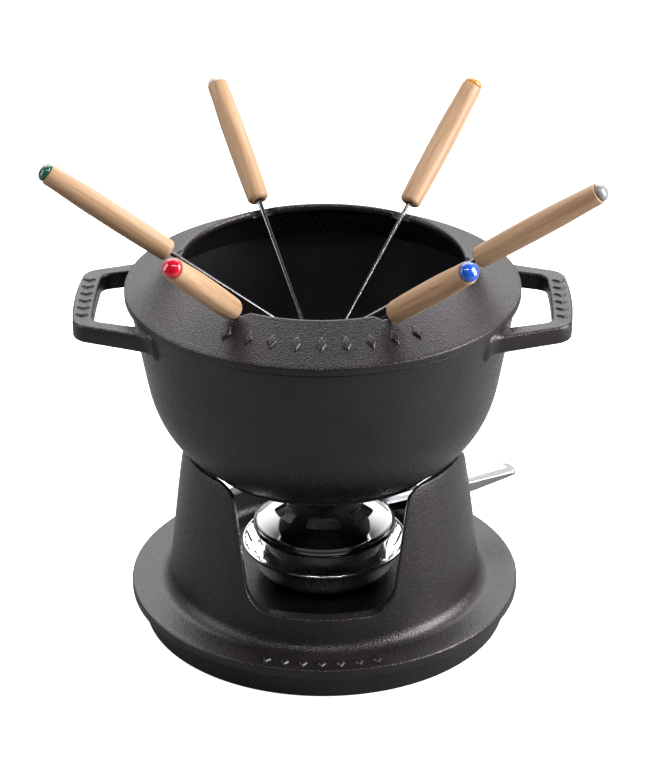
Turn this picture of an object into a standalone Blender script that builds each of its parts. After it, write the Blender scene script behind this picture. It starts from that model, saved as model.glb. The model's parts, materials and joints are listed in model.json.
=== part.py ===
# A fondue pot set: a cast stand, a pot with two loop handles, a notched fork ring,
# a paste burner with a turning regulator, and six forks laid in the ring's notches.
# Metres, +Z up. The origin is on the stand's axis at table height, the front faces -Y.

import math

import bmesh
import bpy
from mathutils import Matrix, Vector

GAP = 0.0003                    # between pieces that touch
CASTING_STEPS = 56              # facets round the stand, pot and ring
BURNER_STEPS = 36               # facets round the burner's pieces

# stand
STAND_TURN = math.radians(-1.8)     # turn of the three windows about +Z
DISC_RADIUS = 0.1088
DISC_TOP_Z = 0.0209
LIP_HEIGHT = 0.0053
SKIRT_RADIUS = 0.1017
SKIRT_WALL = 0.0042
CONE_FOOT_RADIUS = 0.0878
CONE_TOP_RADIUS = 0.0780
CONE_TOP_Z = 0.1060
CONE_WALL = 0.0078
LEG_TOP_SLOPE_DROP = 0.0044         # the leg tops fall inwards, towards the pot
FOOT_FILLET = 0.0060
WINDOW_COUNT = 3
WINDOW_SILL_Z = 0.0385
WINDOW_SILL_HALF = 0.0385
WINDOW_MOUTH_HALF = 0.0475
WINDOW_CORNER = 0.0140
LEG_CORNER = 0.0090
RECESS_DEPTH = 0.0010

# pot, heights above its own foot
POT_TURN = math.radians(-1.2)
POT_FOOT_RADIUS = 0.0659
POT_HEIGHT = 0.0972
RIM_RADIUS = 0.1048
BOWL_RADIUS = 0.0955                # where the flared wall turns into the bowl
BOWL_HEIGHT = 0.0440
BOWL_PULL_RADIUS = 0.0890           # control point of the bowl's curve
BOWL_PULL_HEIGHT = 0.0160
POT_WALL = 0.0045
POT_FLOOR = 0.0055
HANDLE_REACH = 0.0300               # past the rim
HANDLE_TOP_BELOW_RIM = 0.0039
HANDLE_THICKNESS = 0.0100
HANDLE_BAR = 0.0122
HANDLE_TIP_HALF = 0.0352
HANDLE_ROOT_HALF = 0.0505
HANDLE_OPENING_TIP_HALF = 0.0300
HANDLE_OPENING_ROOT_HALF = 0.0390
HANDLE_BOW = 0.0016
HANDLE_CORNER = 0.0110

# fork ring
RING_TURN = math.radians(-4.5)
RING_OVERHANG = 0.0024              # past the pot's rim
RING_BAND = 0.0045
RING_HEIGHT = 0.0181
CREST_RADIUS = 0.0786
LIP_INSET = 0.0026
RING_THICKNESS = 0.0040             # measured upright
COLLAR_DEPTH = 0.0070
COLLAR_WALL = 0.0030
COLLAR_CLEARANCE = 0.0012
NOTCH_COUNT = 6
NOTCH_FLOOR_HALF = 0.0045
NOTCH_MOUTH_HALF = 0.0060
NOTCH_SLOPE = math.radians(39)

# burner
SAUCER_FOOT_RADIUS = 0.0290
SAUCER_RIM_RADIUS = 0.0462
SAUCER_HEIGHT = 0.0225
SAUCER_WALL = 0.0012
CUP_RADIUS = 0.0335
CUP_FOOT_RADIUS = 0.0255
CUP_HEIGHT = 0.0285
CUP_WALL = 0.0010
WADDING_DEPTH = 0.0150
GAUZE_THICKNESS = 0.0008
DOME_RADIUS = 0.0385
DOME_SKIRT = 0.0042
DOME_RISE = 0.0172
DOME_WALL = 0.0010
DOME_MOUTH_RADIUS = 0.0140
VENT_COUNT = 6
VENT_INNER_RADIUS = 0.0212
VENT_OUTER_RADIUS = 0.0282
VENT_HALF_ANGLE = math.radians(20.5)
LEVER_TURN = math.radians(1.0)      # lever's rest place from the window's middle
LEVER_REACH = 0.1255
LEVER_ROOT_WIDTH = 0.0072
LEVER_TIP_WIDTH = 0.0132
LEVER_SHEET = 0.0012
LEVER_FLANGE = 0.0058               # depth of its sides, full out to the taper
LEVER_TAPER_RADIUS = 0.0960
LEVER_TIP_DEPTH = 0.0016
LEVER_BAND = 0.0010

# forks
FORK_HANDLE_LENGTH = 0.0783
FORK_HANDLE_BASE_RADIUS = 0.0060
FORK_HANDLE_RADIUS = 0.0065
FORK_HANDLE_END_RADIUS = 0.0058
FORK_CAP_LENGTH = 0.0044
FORK_CAP_RADIUS = 0.0053
SHAFT_RADIUS = 0.00135
TANG_LENGTH = 0.0240
HEAD_LENGTH = 0.0340
HEAD_WIDTH = 0.0060
HEAD_THICKNESS = 0.0018
PRONG_WIDTH = 0.0018
TIP_CLEARANCE = 0.0016
CROSSING_BELOW_CREST = 0.0007       # the shafts' middle where they cross the crest
CROSSING_INSET = 0.0011             # and how far inside the crest's radius that is

# colour name, heading off the notch's radius and tilt in degrees,
# then sideways and upward place in the notch and the handle's start, in metres
FORKS = (
    ("grey", -11.1, 34.6, 0.0000, 0.0001, 0.0067),
    ("orange", -4.8, 42.4, -0.0012, -0.0003, 0.0076),
    ("white", -2.4, 38.4, 0.0000, 0.0002, 0.0066),
    ("green", 2.6, 35.1, 0.0004, -0.0004, 0.0060),
    ("red", 8.4, 37.6, -0.0006, -0.0011, 0.0058),
    ("blue", 7.1, 35.8, -0.0001, -0.0010, 0.0083),
)
CAP_COLOURS = {
    "grey": (0.26, 0.25, 0.25),
    "orange": (0.75, 0.26, 0.04),
    "white": (0.80, 0.80, 0.78),
    "green": (0.01, 0.07, 0.04),
    "red": (0.65, 0.005, 0.03),
    "blue": (0.01, 0.08, 0.45),
}

# turns a prism so that it runs out along +X with its outline's y upwards
STAND_UP = Matrix(((0, 0, 1, 0), (1, 0, 0, 0), (0, 1, 0, 0), (0, 0, 0, 1)))


# Helpers

def clear_scene():
    for obj in list(bpy.data.objects):
        bpy.data.objects.remove(obj, do_unlink=True)


def material(name, colour, roughness, metallic=0.0):
    found = bpy.data.materials.get(name)
    if found:
        return found
    made = bpy.data.materials.new(name)
    made.use_nodes = True
    shader = made.node_tree.nodes["Principled BSDF"]
    shader.inputs["Base Color"].default_value = (*colour, 1.0)
    shader.inputs["Roughness"].default_value = roughness
    shader.inputs["Metallic"].default_value = metallic
    return made


def iron():
    return material("matte_cast_iron", (0.06, 0.055, 0.058), 0.6)


def chrome():
    return material("bright_chrome", (0.75, 0.75, 0.76), 0.1, 1.0)


def add_object(name, bm, finish):
    bmesh.ops.remove_doubles(bm, verts=bm.verts, dist=1e-6)
    bmesh.ops.recalc_face_normals(bm, faces=bm.faces)
    mesh = bpy.data.meshes.new(name)
    bm.to_mesh(mesh)
    bm.free()
    mesh.shade_smooth()
    mesh.set_sharp_from_angle(angle=math.radians(35))
    obj = bpy.data.objects.new(name, mesh)
    obj.data.materials.append(finish)
    bpy.context.scene.collection.objects.link(obj)
    return obj


def lathe(name, profile, finish, steps):
    """Turn a profile of (radius, height) points about +Z. A closed ring has no point on
    the axis; a solid of revolution starts and ends on it."""
    bm = bmesh.new()
    verts = [bm.verts.new((r, 0.0, z)) for r, z in profile]
    edges = [bm.edges.new(pair) for pair in zip(verts, verts[1:])]
    if profile[0][0] > 0:
        edges.append(bm.edges.new((verts[-1], verts[0])))
    bmesh.ops.spin(bm, geom=verts + edges, cent=(0, 0, 0), axis=(0, 0, 1),
                   steps=steps, angle=2 * math.pi, use_merge=True)
    bmesh.ops.dissolve_degenerate(bm, dist=1e-7, edges=bm.edges)
    return add_object(name, bm, finish)


def prism(name, outline, low, high, finish, bevel=0.0):
    """Extrude an outline of (x, y) points from low to high along +Z."""
    bm = bmesh.new()
    face = bm.faces.new([bm.verts.new((x, y, low)) for x, y in outline])
    grown = bmesh.ops.extrude_face_region(bm, geom=[face])
    top = [v for v in grown["geom"] if isinstance(v, bmesh.types.BMVert)]
    bmesh.ops.translate(bm, verts=top, vec=(0, 0, high - low))
    if bevel:
        bmesh.ops.recalc_face_normals(bm, faces=bm.faces)
        flat = [e for e in bm.edges
                if abs(e.verts[0].co.z - e.verts[1].co.z) < 1e-9]
        bmesh.ops.bevel(bm, geom=flat, offset=bevel, segments=2, affect="EDGES", profile=0.5)
    return add_object(name, bm, finish)


def rounded(points, radii, steps=4):
    """Replace each corner of a closed outline by an arc of its radius."""
    outline = []
    count = len(points)
    for i, radius in enumerate(radii):
        corner = Vector(points[i])
        before = (Vector(points[i - 1]) - corner).normalized()
        after = (Vector(points[(i + 1) % count]) - corner).normalized()
        half = before.angle(after) / 2
        if radius == 0 or half > math.radians(89):
            outline.append(tuple(corner))
            continue
        centre = corner + (before + after).normalized() * radius / math.sin(half)
        start = corner + before * radius / math.tan(half) - centre
        end = corner + after * radius / math.tan(half) - centre
        sweep = start.angle_signed(end)
        for k in range(steps + 1):
            turn = Matrix.Rotation(-sweep * k / steps, 2)
            outline.append(tuple(centre + turn @ start))
    return outline


def as_tool(tool):
    tool.hide_render = True
    tool.display_type = "WIRE"


def combine(obj, tool, operation):
    as_tool(tool)
    step = obj.modifiers.new(operation.lower() + "_" + tool.name, "BOOLEAN")
    step.operation = operation
    step.solver = "EXACT"
    step.object = tool


def empty(name, place, rotation=(0.0, 0.0, 0.0)):
    obj = bpy.data.objects.new(name, None)
    obj.location = place
    obj.rotation_euler = rotation
    bpy.context.scene.collection.objects.link(obj)
    return obj


def arc(centre, radius, start, end, steps):
    """Points of a circle's arc, between two angles in degrees, for a profile."""
    angles = [math.radians(start + (end - start) * k / steps) for k in range(steps + 1)]
    return [(centre[0] + radius * math.cos(a), centre[1] + radius * math.sin(a))
            for a in angles]


def along(a, b, t):
    return a + (b - a) * t


# Derived places

def bowl_curve(t, inset=0.0, floor=0.0026):
    """The pot's side from the top of its foot (t = 0) to the flared wall (t = 1)."""
    foot_r = POT_FOOT_RADIUS + 0.0006 - inset
    pull_r = BOWL_PULL_RADIUS - inset
    wall_r = BOWL_RADIUS - inset
    r = (1 - t) ** 2 * foot_r + 2 * t * (1 - t) * pull_r + t ** 2 * wall_r
    z = (1 - t) ** 2 * floor + 2 * t * (1 - t) * (BOWL_PULL_HEIGHT + inset) + t ** 2 * BOWL_HEIGHT
    return r, z


def pot_side_height(radius):
    """Height above the foot of the pot's outer side at a radius on the bowl."""
    steps = 400
    for k in range(steps + 1):
        r, z = bowl_curve(k / steps)
        if r >= radius:
            return z
    return BOWL_HEIGHT


def pot_inner_radius(height):
    """Inner radius at a height above the foot."""
    if height >= BOWL_HEIGHT:
        t = (height - BOWL_HEIGHT) / (POT_HEIGHT - BOWL_HEIGHT)
        return along(BOWL_RADIUS, RIM_RADIUS, t) - POT_WALL
    if height <= POT_FLOOR:
        return 0.0
    inner = 0.0
    steps = 200
    for k in range(steps + 1):
        r, z = bowl_curve(k / steps, POT_WALL, POT_FLOOR)
        if z <= height:
            inner = max(inner, r)
    return inner


LEG_INNER_RADIUS = CONE_TOP_RADIUS - CONE_WALL
LEG_INNER_Z = CONE_TOP_Z - LEG_TOP_SLOPE_DROP
POT_Z = LEG_INNER_Z + GAP - pot_side_height(LEG_INNER_RADIUS)
RIM_Z = POT_Z + POT_HEIGHT
RING_Z = RIM_Z + GAP
RING_RADIUS = RIM_RADIUS + RING_OVERHANG
CREST_Z = RING_Z + RING_HEIGHT
SAUCER_Z = DISC_TOP_Z - RECESS_DEPTH + GAP
CUP_Z = SAUCER_Z + SAUCER_WALL + GAP
CUP_TOP_Z = CUP_Z + CUP_HEIGHT
DOME_Z = CUP_TOP_Z - GAP              # the dome's skirt hangs just past the cup's top
LEVER_TOP_Z = DOME_Z + DOME_SKIRT


def window_azimuth(index):
    return STAND_TURN + math.radians(-90 + 360 * index / WINDOW_COUNT)


# Stand

def build_stand():
    def cone_radius(z):
        t = (z - DISC_TOP_Z) / (CONE_TOP_Z - DISC_TOP_Z)
        return along(CONE_FOOT_RADIUS, CONE_TOP_RADIUS, t)

    lip_z = DISC_TOP_Z - LIP_HEIGHT
    fillet_z = DISC_TOP_Z + FOOT_FILLET
    inner_foot = cone_radius(fillet_z) - CONE_WALL
    recess = SAUCER_FOOT_RADIUS + 0.0015
    profile = [(0.0, lip_z), (SKIRT_RADIUS - SKIRT_WALL + 0.0005, lip_z),
               (SKIRT_RADIUS - SKIRT_WALL, 0.0), (SKIRT_RADIUS - 0.0008, 0.0),
               (SKIRT_RADIUS, 0.0008), (SKIRT_RADIUS + 0.0008, lip_z)]
    profile += [(DISC_RADIUS - 0.0008, lip_z), (DISC_RADIUS, lip_z + 0.0008),
                (DISC_RADIUS, DISC_TOP_Z - 0.0010), (DISC_RADIUS - 0.0004, DISC_TOP_Z - 0.0003),
                (DISC_RADIUS - 0.0011, DISC_TOP_Z)]
    fillet_centre = (cone_radius(fillet_z) + FOOT_FILLET, fillet_z)
    profile += arc(fillet_centre, FOOT_FILLET, 270, 180, 4)
    profile += [(CONE_TOP_RADIUS + 0.0003, CONE_TOP_Z - 0.0012), (CONE_TOP_RADIUS - 0.0008, CONE_TOP_Z),
                (LEG_INNER_RADIUS + 0.0006, LEG_INNER_Z), (LEG_INNER_RADIUS, LEG_INNER_Z - 0.0010)]
    profile += [(inner_foot, fillet_z - 0.0030), (inner_foot - 0.0030, DISC_TOP_Z),
                (recess, DISC_TOP_Z), (recess - 0.0005, DISC_TOP_Z - RECESS_DEPTH),
                (0.0, DISC_TOP_Z - RECESS_DEPTH)]
    stand = lathe("stand", profile, iron(), CASTING_STEPS)

    # window outline: x across the window, y up
    rise = CONE_TOP_Z + 0.02
    outline = rounded(
        [(-WINDOW_SILL_HALF, WINDOW_SILL_Z), (WINDOW_SILL_HALF, WINDOW_SILL_Z),
         (WINDOW_MOUTH_HALF, CONE_TOP_Z), (WINDOW_MOUTH_HALF + 0.012, CONE_TOP_Z + 0.0004),
         (WINDOW_MOUTH_HALF + 0.012, rise), (-WINDOW_MOUTH_HALF - 0.012, rise),
         (-WINDOW_MOUTH_HALF - 0.012, CONE_TOP_Z + 0.0004), (-WINDOW_MOUTH_HALF, CONE_TOP_Z)],
        [WINDOW_CORNER, WINDOW_CORNER, LEG_CORNER, 0, 0, 0, 0, LEG_CORNER], steps=5)
    reach_in = LEG_INNER_RADIUS * 0.45
    reach_out = CONE_FOOT_RADIUS + 0.012
    for index in range(WINDOW_COUNT):
        cutter = prism(f"cut_window_{index + 1}", outline, reach_in, reach_out, iron())
        cutter.matrix_world = Matrix.Rotation(window_azimuth(index), 4, "Z") @ STAND_UP
        combine(stand, cutter, "DIFFERENCE")
    return stand


# Pot

def handle_outlines():
    tip = RIM_RADIUS + HANDLE_REACH
    root = BOWL_RADIUS - 0.002
    bow = [(tip - HANDLE_BOW * (s / 2) ** 2, HANDLE_TIP_HALF * s / 2) for s in (-1, 0, 1)]
    outer = rounded([(root, -HANDLE_ROOT_HALF), (tip - HANDLE_BOW, -HANDLE_TIP_HALF)] + bow
                    + [(tip - HANDLE_BOW, HANDLE_TIP_HALF), (root, HANDLE_ROOT_HALF)],
                    [0, HANDLE_CORNER, 0, 0, 0, HANDLE_CORNER, 0])
    far = tip - HANDLE_BAR
    opening = rounded([(root - 0.001, -HANDLE_OPENING_ROOT_HALF), (far, -HANDLE_OPENING_TIP_HALF),
                       (far, HANDLE_OPENING_TIP_HALF), (root - 0.001, HANDLE_OPENING_ROOT_HALF)],
                      [0, HANDLE_CORNER * 0.6, HANDLE_CORNER * 0.6, 0])
    return outer, opening


def pot_inner_profile():
    side = [bowl_curve(t / 6, POT_WALL, POT_FLOOR) for t in range(7)]
    return [(0.0, POT_FLOOR)] + [(side[0][0] - 0.012, POT_FLOOR), (side[0][0], POT_FLOOR + 0.0012)] \
        + side[1:] + [(RIM_RADIUS - POT_WALL, POT_HEIGHT - 0.0008),
                      (RIM_RADIUS - POT_WALL + 0.0008, POT_HEIGHT)]


def build_pot():
    outside = [(0.0, 0.0), (POT_FOOT_RADIUS - 0.0010, 0.0), (POT_FOOT_RADIUS, 0.0010)]
    outside += [bowl_curve(t / 8) for t in range(9)]
    outside += [(along(BOWL_RADIUS, RIM_RADIUS, 0.5), along(BOWL_HEIGHT, POT_HEIGHT, 0.5)),
                (RIM_RADIUS, POT_HEIGHT - 0.0012), (RIM_RADIUS - 0.0010, POT_HEIGHT)]
    pot = lathe("pot", outside + [(0.0, POT_HEIGHT)], iron(), CASTING_STEPS)
    pot.location = (0, 0, POT_Z)
    pot.rotation_euler = (0, 0, POT_TURN)

    outer, opening = handle_outlines()
    top = RIM_Z - HANDLE_TOP_BELOW_RIM
    for side, turn in (("right", 0.0), ("left", math.pi)):
        loop = prism(f"loop_{side}", outer, top - HANDLE_THICKNESS, top, iron(), bevel=0.0012)
        hole = prism(f"cut_loop_{side}", opening, top - 0.03, top + 0.03, iron())
        for tool in (loop, hole):
            tool.rotation_euler = (0, 0, POT_TURN + turn)
        combine(loop, hole, "DIFFERENCE")
        combine(pot, loop, "UNION")

    inside = pot_inner_profile() + [(RIM_RADIUS - POT_WALL + 0.0008, POT_HEIGHT + 0.01),
                                    (0.0, POT_HEIGHT + 0.01)]
    cavity = lathe("cut_pot_inside", inside, iron(), CASTING_STEPS)
    cavity.location = (0, 0, POT_Z)
    combine(pot, cavity, "DIFFERENCE")
    return pot


# Fork ring

def ring_top(radius):
    """Height of the ring's sloping top above its seat."""
    outer = RING_RADIUS - 0.0008
    t = (outer - radius) / (outer - CREST_RADIUS)
    return along(RING_BAND, RING_HEIGHT, t)


def notch_azimuth(index):
    return RING_TURN + 2 * math.pi * index / NOTCH_COUNT


def build_ring():
    lip = CREST_RADIUS - LIP_INSET
    collar_outer = pot_inner_radius(POT_HEIGHT - COLLAR_DEPTH) - COLLAR_CLEARANCE
    collar_inner = collar_outer - COLLAR_WALL
    band = RING_RADIUS
    profile = [(band, 0.0005), (band, RING_BAND - 0.0008), (band - 0.0008, RING_BAND),
               (CREST_RADIUS + 0.0012, ring_top(CREST_RADIUS + 0.0012)),
               (CREST_RADIUS - 0.0002, RING_HEIGHT - 0.0001),
               (CREST_RADIUS - LIP_INSET * 0.6, RING_HEIGHT - 0.0008),
               (lip, RING_HEIGHT - 0.0026),
               (lip + 0.0002, ring_top(lip + 0.003) - RING_THICKNESS),
               (lip + 0.003, ring_top(lip + 0.003) - RING_THICKNESS),
               (collar_inner, ring_top(collar_inner) - RING_THICKNESS),
               (collar_inner, -COLLAR_DEPTH), (collar_outer, -COLLAR_DEPTH),
               (collar_outer + 0.0004, 0.0), (band - 0.0005, 0.0)]
    ring = lathe("fork_ring", profile, iron(), CASTING_STEPS)
    ring.location = (0, 0, RING_Z)

    # the notch's floor follows the shafts' slope, just below them
    depth = SHAFT_RADIUS / math.cos(NOTCH_SLOPE) + 0.0014
    outline = [(-NOTCH_FLOOR_HALF, 0), (NOTCH_FLOOR_HALF, 0), (NOTCH_MOUTH_HALF, depth + 0.0012),
               (NOTCH_MOUTH_HALF + 0.006, 0.016), (-NOTCH_MOUTH_HALF - 0.006, 0.016),
               (-NOTCH_MOUTH_HALF, depth + 0.0012)]
    for index in range(NOTCH_COUNT):
        cutter = prism(f"cut_notch_{index + 1}", outline, -0.008, 0.010, iron())
        place = Vector((CREST_RADIUS - CROSSING_INSET, 0, CREST_Z - CROSSING_BELOW_CREST - depth))
        turn = Matrix.Rotation(notch_azimuth(index), 4, "Z")
        lean = Matrix.Rotation(-NOTCH_SLOPE, 4, "Y")
        cutter.matrix_world = turn @ Matrix.Translation(place) @ lean @ STAND_UP
        combine(ring, cutter, "DIFFERENCE")
    return ring


# Burner

def dome_height(radius, inset):
    """Height of a surface that lies inset under the dome's outside."""
    slope = math.atan(2 * DOME_RISE * radius / DOME_RADIUS ** 2)
    top = DOME_SKIRT + DOME_RISE * (1 - (radius / DOME_RADIUS) ** 2)
    return top - inset / math.cos(slope)


def dome_shell(name, inset, base, mouth, skirt, finish):
    """A vented dome of even wall, inset from the dome's outside."""
    steps = 5
    surfaces = []
    for depth in (inset, inset + DOME_WALL):
        edge = DOME_RADIUS - depth
        radii = [along(edge, mouth, k / steps) for k in range(steps + 1)]
        surfaces.append([(edge, DOME_SKIRT - skirt)] + [(r, dome_height(r, depth)) for r in radii])
    outside, inside = surfaces
    inside.reverse()
    shell = lathe(name, outside + inside, finish, BURNER_STEPS)
    shell.location = (0, 0, base)
    span = 3
    for index in range(VENT_COUNT):
        middle = STAND_TURN + math.radians(-90 + 360 * index / VENT_COUNT)
        angles = [middle + VENT_HALF_ANGLE * (2 * k / span - 1) for k in range(span + 1)]
        far = [(VENT_OUTER_RADIUS * math.cos(a), VENT_OUTER_RADIUS * math.sin(a)) for a in angles]
        near = [(VENT_INNER_RADIUS * math.cos(a), VENT_INNER_RADIUS * math.sin(a))
                for a in reversed(angles)]
        cutter = prism(f"cut_{name}_{index + 1}", far + near, base - 0.01, base + 0.04, finish)
        combine(shell, cutter, "DIFFERENCE")
    return shell


def build_burner():
    foot, rim, height, wall = SAUCER_FOOT_RADIUS, SAUCER_RIM_RADIUS, SAUCER_HEIGHT, SAUCER_WALL
    saucer = lathe("burner_saucer", [
        (0.0, 0.0), (foot - 0.001, 0.0), (foot, 0.0007), (foot + 0.0075, 0.0050),
        (rim - 0.0060, 0.0120), (rim - 0.0014, height - 0.0018), (rim, height - 0.0010),
        (rim, height - 0.0003), (rim - 0.0010, height), (rim - 0.0026, height - 0.0008),
        (rim - 0.0060 - wall, 0.0124), (foot + 0.0068, 0.0050 + wall),
        (foot - 0.0008, wall), (0.0, wall)], chrome(), BURNER_STEPS)
    saucer.location = (0, 0, SAUCER_Z)

    cup_foot, cup, top = CUP_FOOT_RADIUS, CUP_RADIUS, CUP_HEIGHT
    steel = material("plain_steel", (0.5, 0.5, 0.5), 0.35, 1.0)
    fuel_cup = lathe("fuel_cup", [
        (0.0, 0.0), (cup_foot, 0.0), (cup - 0.001, 0.0110), (cup, 0.0130),
        (cup, top - 0.0014), (DOME_RADIUS - 2 * DOME_WALL - 0.0016, top - 0.0012),
        (DOME_RADIUS - 2 * DOME_WALL - 0.0016, top - 0.0006), (cup - CUP_WALL, top - 0.0006),
        (cup - CUP_WALL, 0.0134), (cup - CUP_WALL - 0.001, 0.0116), (cup_foot - 0.0006, CUP_WALL),
        (0.0, CUP_WALL)], steel, BURNER_STEPS)
    fuel_cup.location = (0, 0, CUP_Z)

    wad_r = cup - CUP_WALL - 0.0006
    wad_z = 0.0134 - 0.0010
    wadding = lathe("fuel_wadding", [
        (0.0, wad_z - 0.006), (cup_foot + 0.0005, wad_z - 0.006), (wad_r - 0.0010, wad_z),
        (wad_r, wad_z + 0.0010), (wad_r, wad_z - 0.006 + WADDING_DEPTH),
        (0.0, wad_z - 0.006 + WADDING_DEPTH)], material("wadding", (0.7, 0.68, 0.62), 0.95), 32)
    wadding.location = (0, 0, CUP_Z)
    gauze_z = wad_z - 0.006 + WADDING_DEPTH + GAP
    gauze = lathe("wadding_gauze", [
        (0.0, gauze_z), (wad_r, gauze_z), (wad_r, gauze_z + GAUZE_THICKNESS),
        (0.0, gauze_z + GAUZE_THICKNESS)], steel, 32)
    gauze.location = (0, 0, CUP_Z)

    dome_shell("inner_vent_dome", DOME_WALL + GAP, DOME_Z, DOME_MOUTH_RADIUS, DOME_SKIRT - 0.0006, steel)
    cap = dome_shell("regulator_cap", 0.0, DOME_Z, DOME_MOUTH_RADIUS, DOME_SKIRT, chrome())
    lever = build_lever()
    axis = empty("regulator_axis", (0, 0, 0))
    for piece in (cap, lever):
        piece.parent = axis


def build_lever():
    """A channel whose band grips the cap's skirt. Built along +X, top at LEVER_TOP_Z."""
    band_in = DOME_RADIUS + GAP
    band_out = band_in + LEVER_BAND
    band_low = DOME_Z + 0.0004
    band = lathe("regulator_lever", [
        (band_in, band_low), (band_out, band_low), (band_out, LEVER_TOP_Z - 0.0004),
        (band_in, LEVER_TOP_Z - 0.0004)], chrome(), BURNER_STEPS)
    root = band_in + LEVER_BAND * 0.4
    outline = rounded([(root, -LEVER_ROOT_WIDTH / 2), (LEVER_REACH, -LEVER_TIP_WIDTH / 2),
                       (LEVER_REACH, LEVER_TIP_WIDTH / 2), (root, LEVER_ROOT_WIDTH / 2)],
                      [0, 0.0022, 0.0022, 0], steps=3)
    bar = prism("lever_bar", outline, LEVER_TOP_Z - LEVER_FLANGE, LEVER_TOP_Z, chrome())

    # everything below the flanges' lower edge goes, then the channel's inside
    bm = bmesh.new()
    low = LEVER_TOP_Z - LEVER_FLANGE - 0.002
    flange_z = LEVER_TOP_Z - LEVER_FLANGE
    side = [(root - 0.004, low), (LEVER_REACH + 0.004, low),
            (LEVER_REACH + 0.004, LEVER_TOP_Z - LEVER_TIP_DEPTH),
            (LEVER_REACH, LEVER_TOP_Z - LEVER_TIP_DEPTH), (LEVER_TAPER_RADIUS, flange_z),
            (root + 0.004, flange_z), (root - 0.004, band_low)]
    face = bm.faces.new([bm.verts.new((x, -0.012, z)) for x, z in side])
    grown = bmesh.ops.extrude_face_region(bm, geom=[face])
    moved = [v for v in grown["geom"] if isinstance(v, bmesh.types.BMVert)]
    bmesh.ops.translate(bm, verts=moved, vec=(0, 0.024, 0))
    taper = add_object("cut_lever_taper", bm, chrome())
    combine(bar, taper, "DIFFERENCE")
    pocket_root = root + 0.003
    skin = 0.0010
    pocket = prism("cut_lever_pocket", [
        (pocket_root, -LEVER_ROOT_WIDTH / 2 + skin), (LEVER_REACH - 0.004, -LEVER_TIP_WIDTH / 2 + skin),
        (LEVER_REACH - 0.004, LEVER_TIP_WIDTH / 2 - skin), (pocket_root, LEVER_ROOT_WIDTH / 2 - skin)],
        low, LEVER_TOP_Z - LEVER_SHEET, chrome())
    combine(bar, pocket, "DIFFERENCE")
    combine(band, bar, "UNION")
    turn = window_azimuth(0) + math.radians(360 / WINDOW_COUNT) + LEVER_TURN
    for piece in (band, bar, taper, pocket):
        piece.rotation_euler = (0, 0, turn)
    return band


# Forks

def fork_place(index):
    """Point where the shaft crosses the crest and its outward direction."""
    _, heading, tilt, sideways, lift, _ = FORKS[index]
    azimuth = notch_azimuth(index)
    radius = CREST_RADIUS - CROSSING_INSET
    point = Vector((radius * math.cos(azimuth) - sideways * math.sin(azimuth),
                    radius * math.sin(azimuth) + sideways * math.cos(azimuth),
                    CREST_Z - CROSSING_BELOW_CREST + lift))
    yaw = azimuth + math.radians(heading)
    pitch = math.radians(tilt)
    return Matrix.Translation(point) @ Matrix.Rotation(yaw, 4, "Z") @ Matrix.Rotation(-pitch, 4, "Y")


def reach_inside(frame):
    """How far the tips go in before they meet the pot's wall or floor."""
    step = 0.0005
    length = 0.05
    half = HEAD_WIDTH / 2
    while length < 0.30:
        for side in (-half, half):
            for drop in (-HEAD_THICKNESS / 2, HEAD_THICKNESS / 2):
                tip = frame @ Vector((-length, side, drop))
                height = tip.z - POT_Z
                room = pot_inner_radius(height - TIP_CLEARANCE) - TIP_CLEARANCE
                if math.hypot(tip.x, tip.y) > room or height < POT_FLOOR + TIP_CLEARANCE:
                    return length - step
        length += step
    return length


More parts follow.
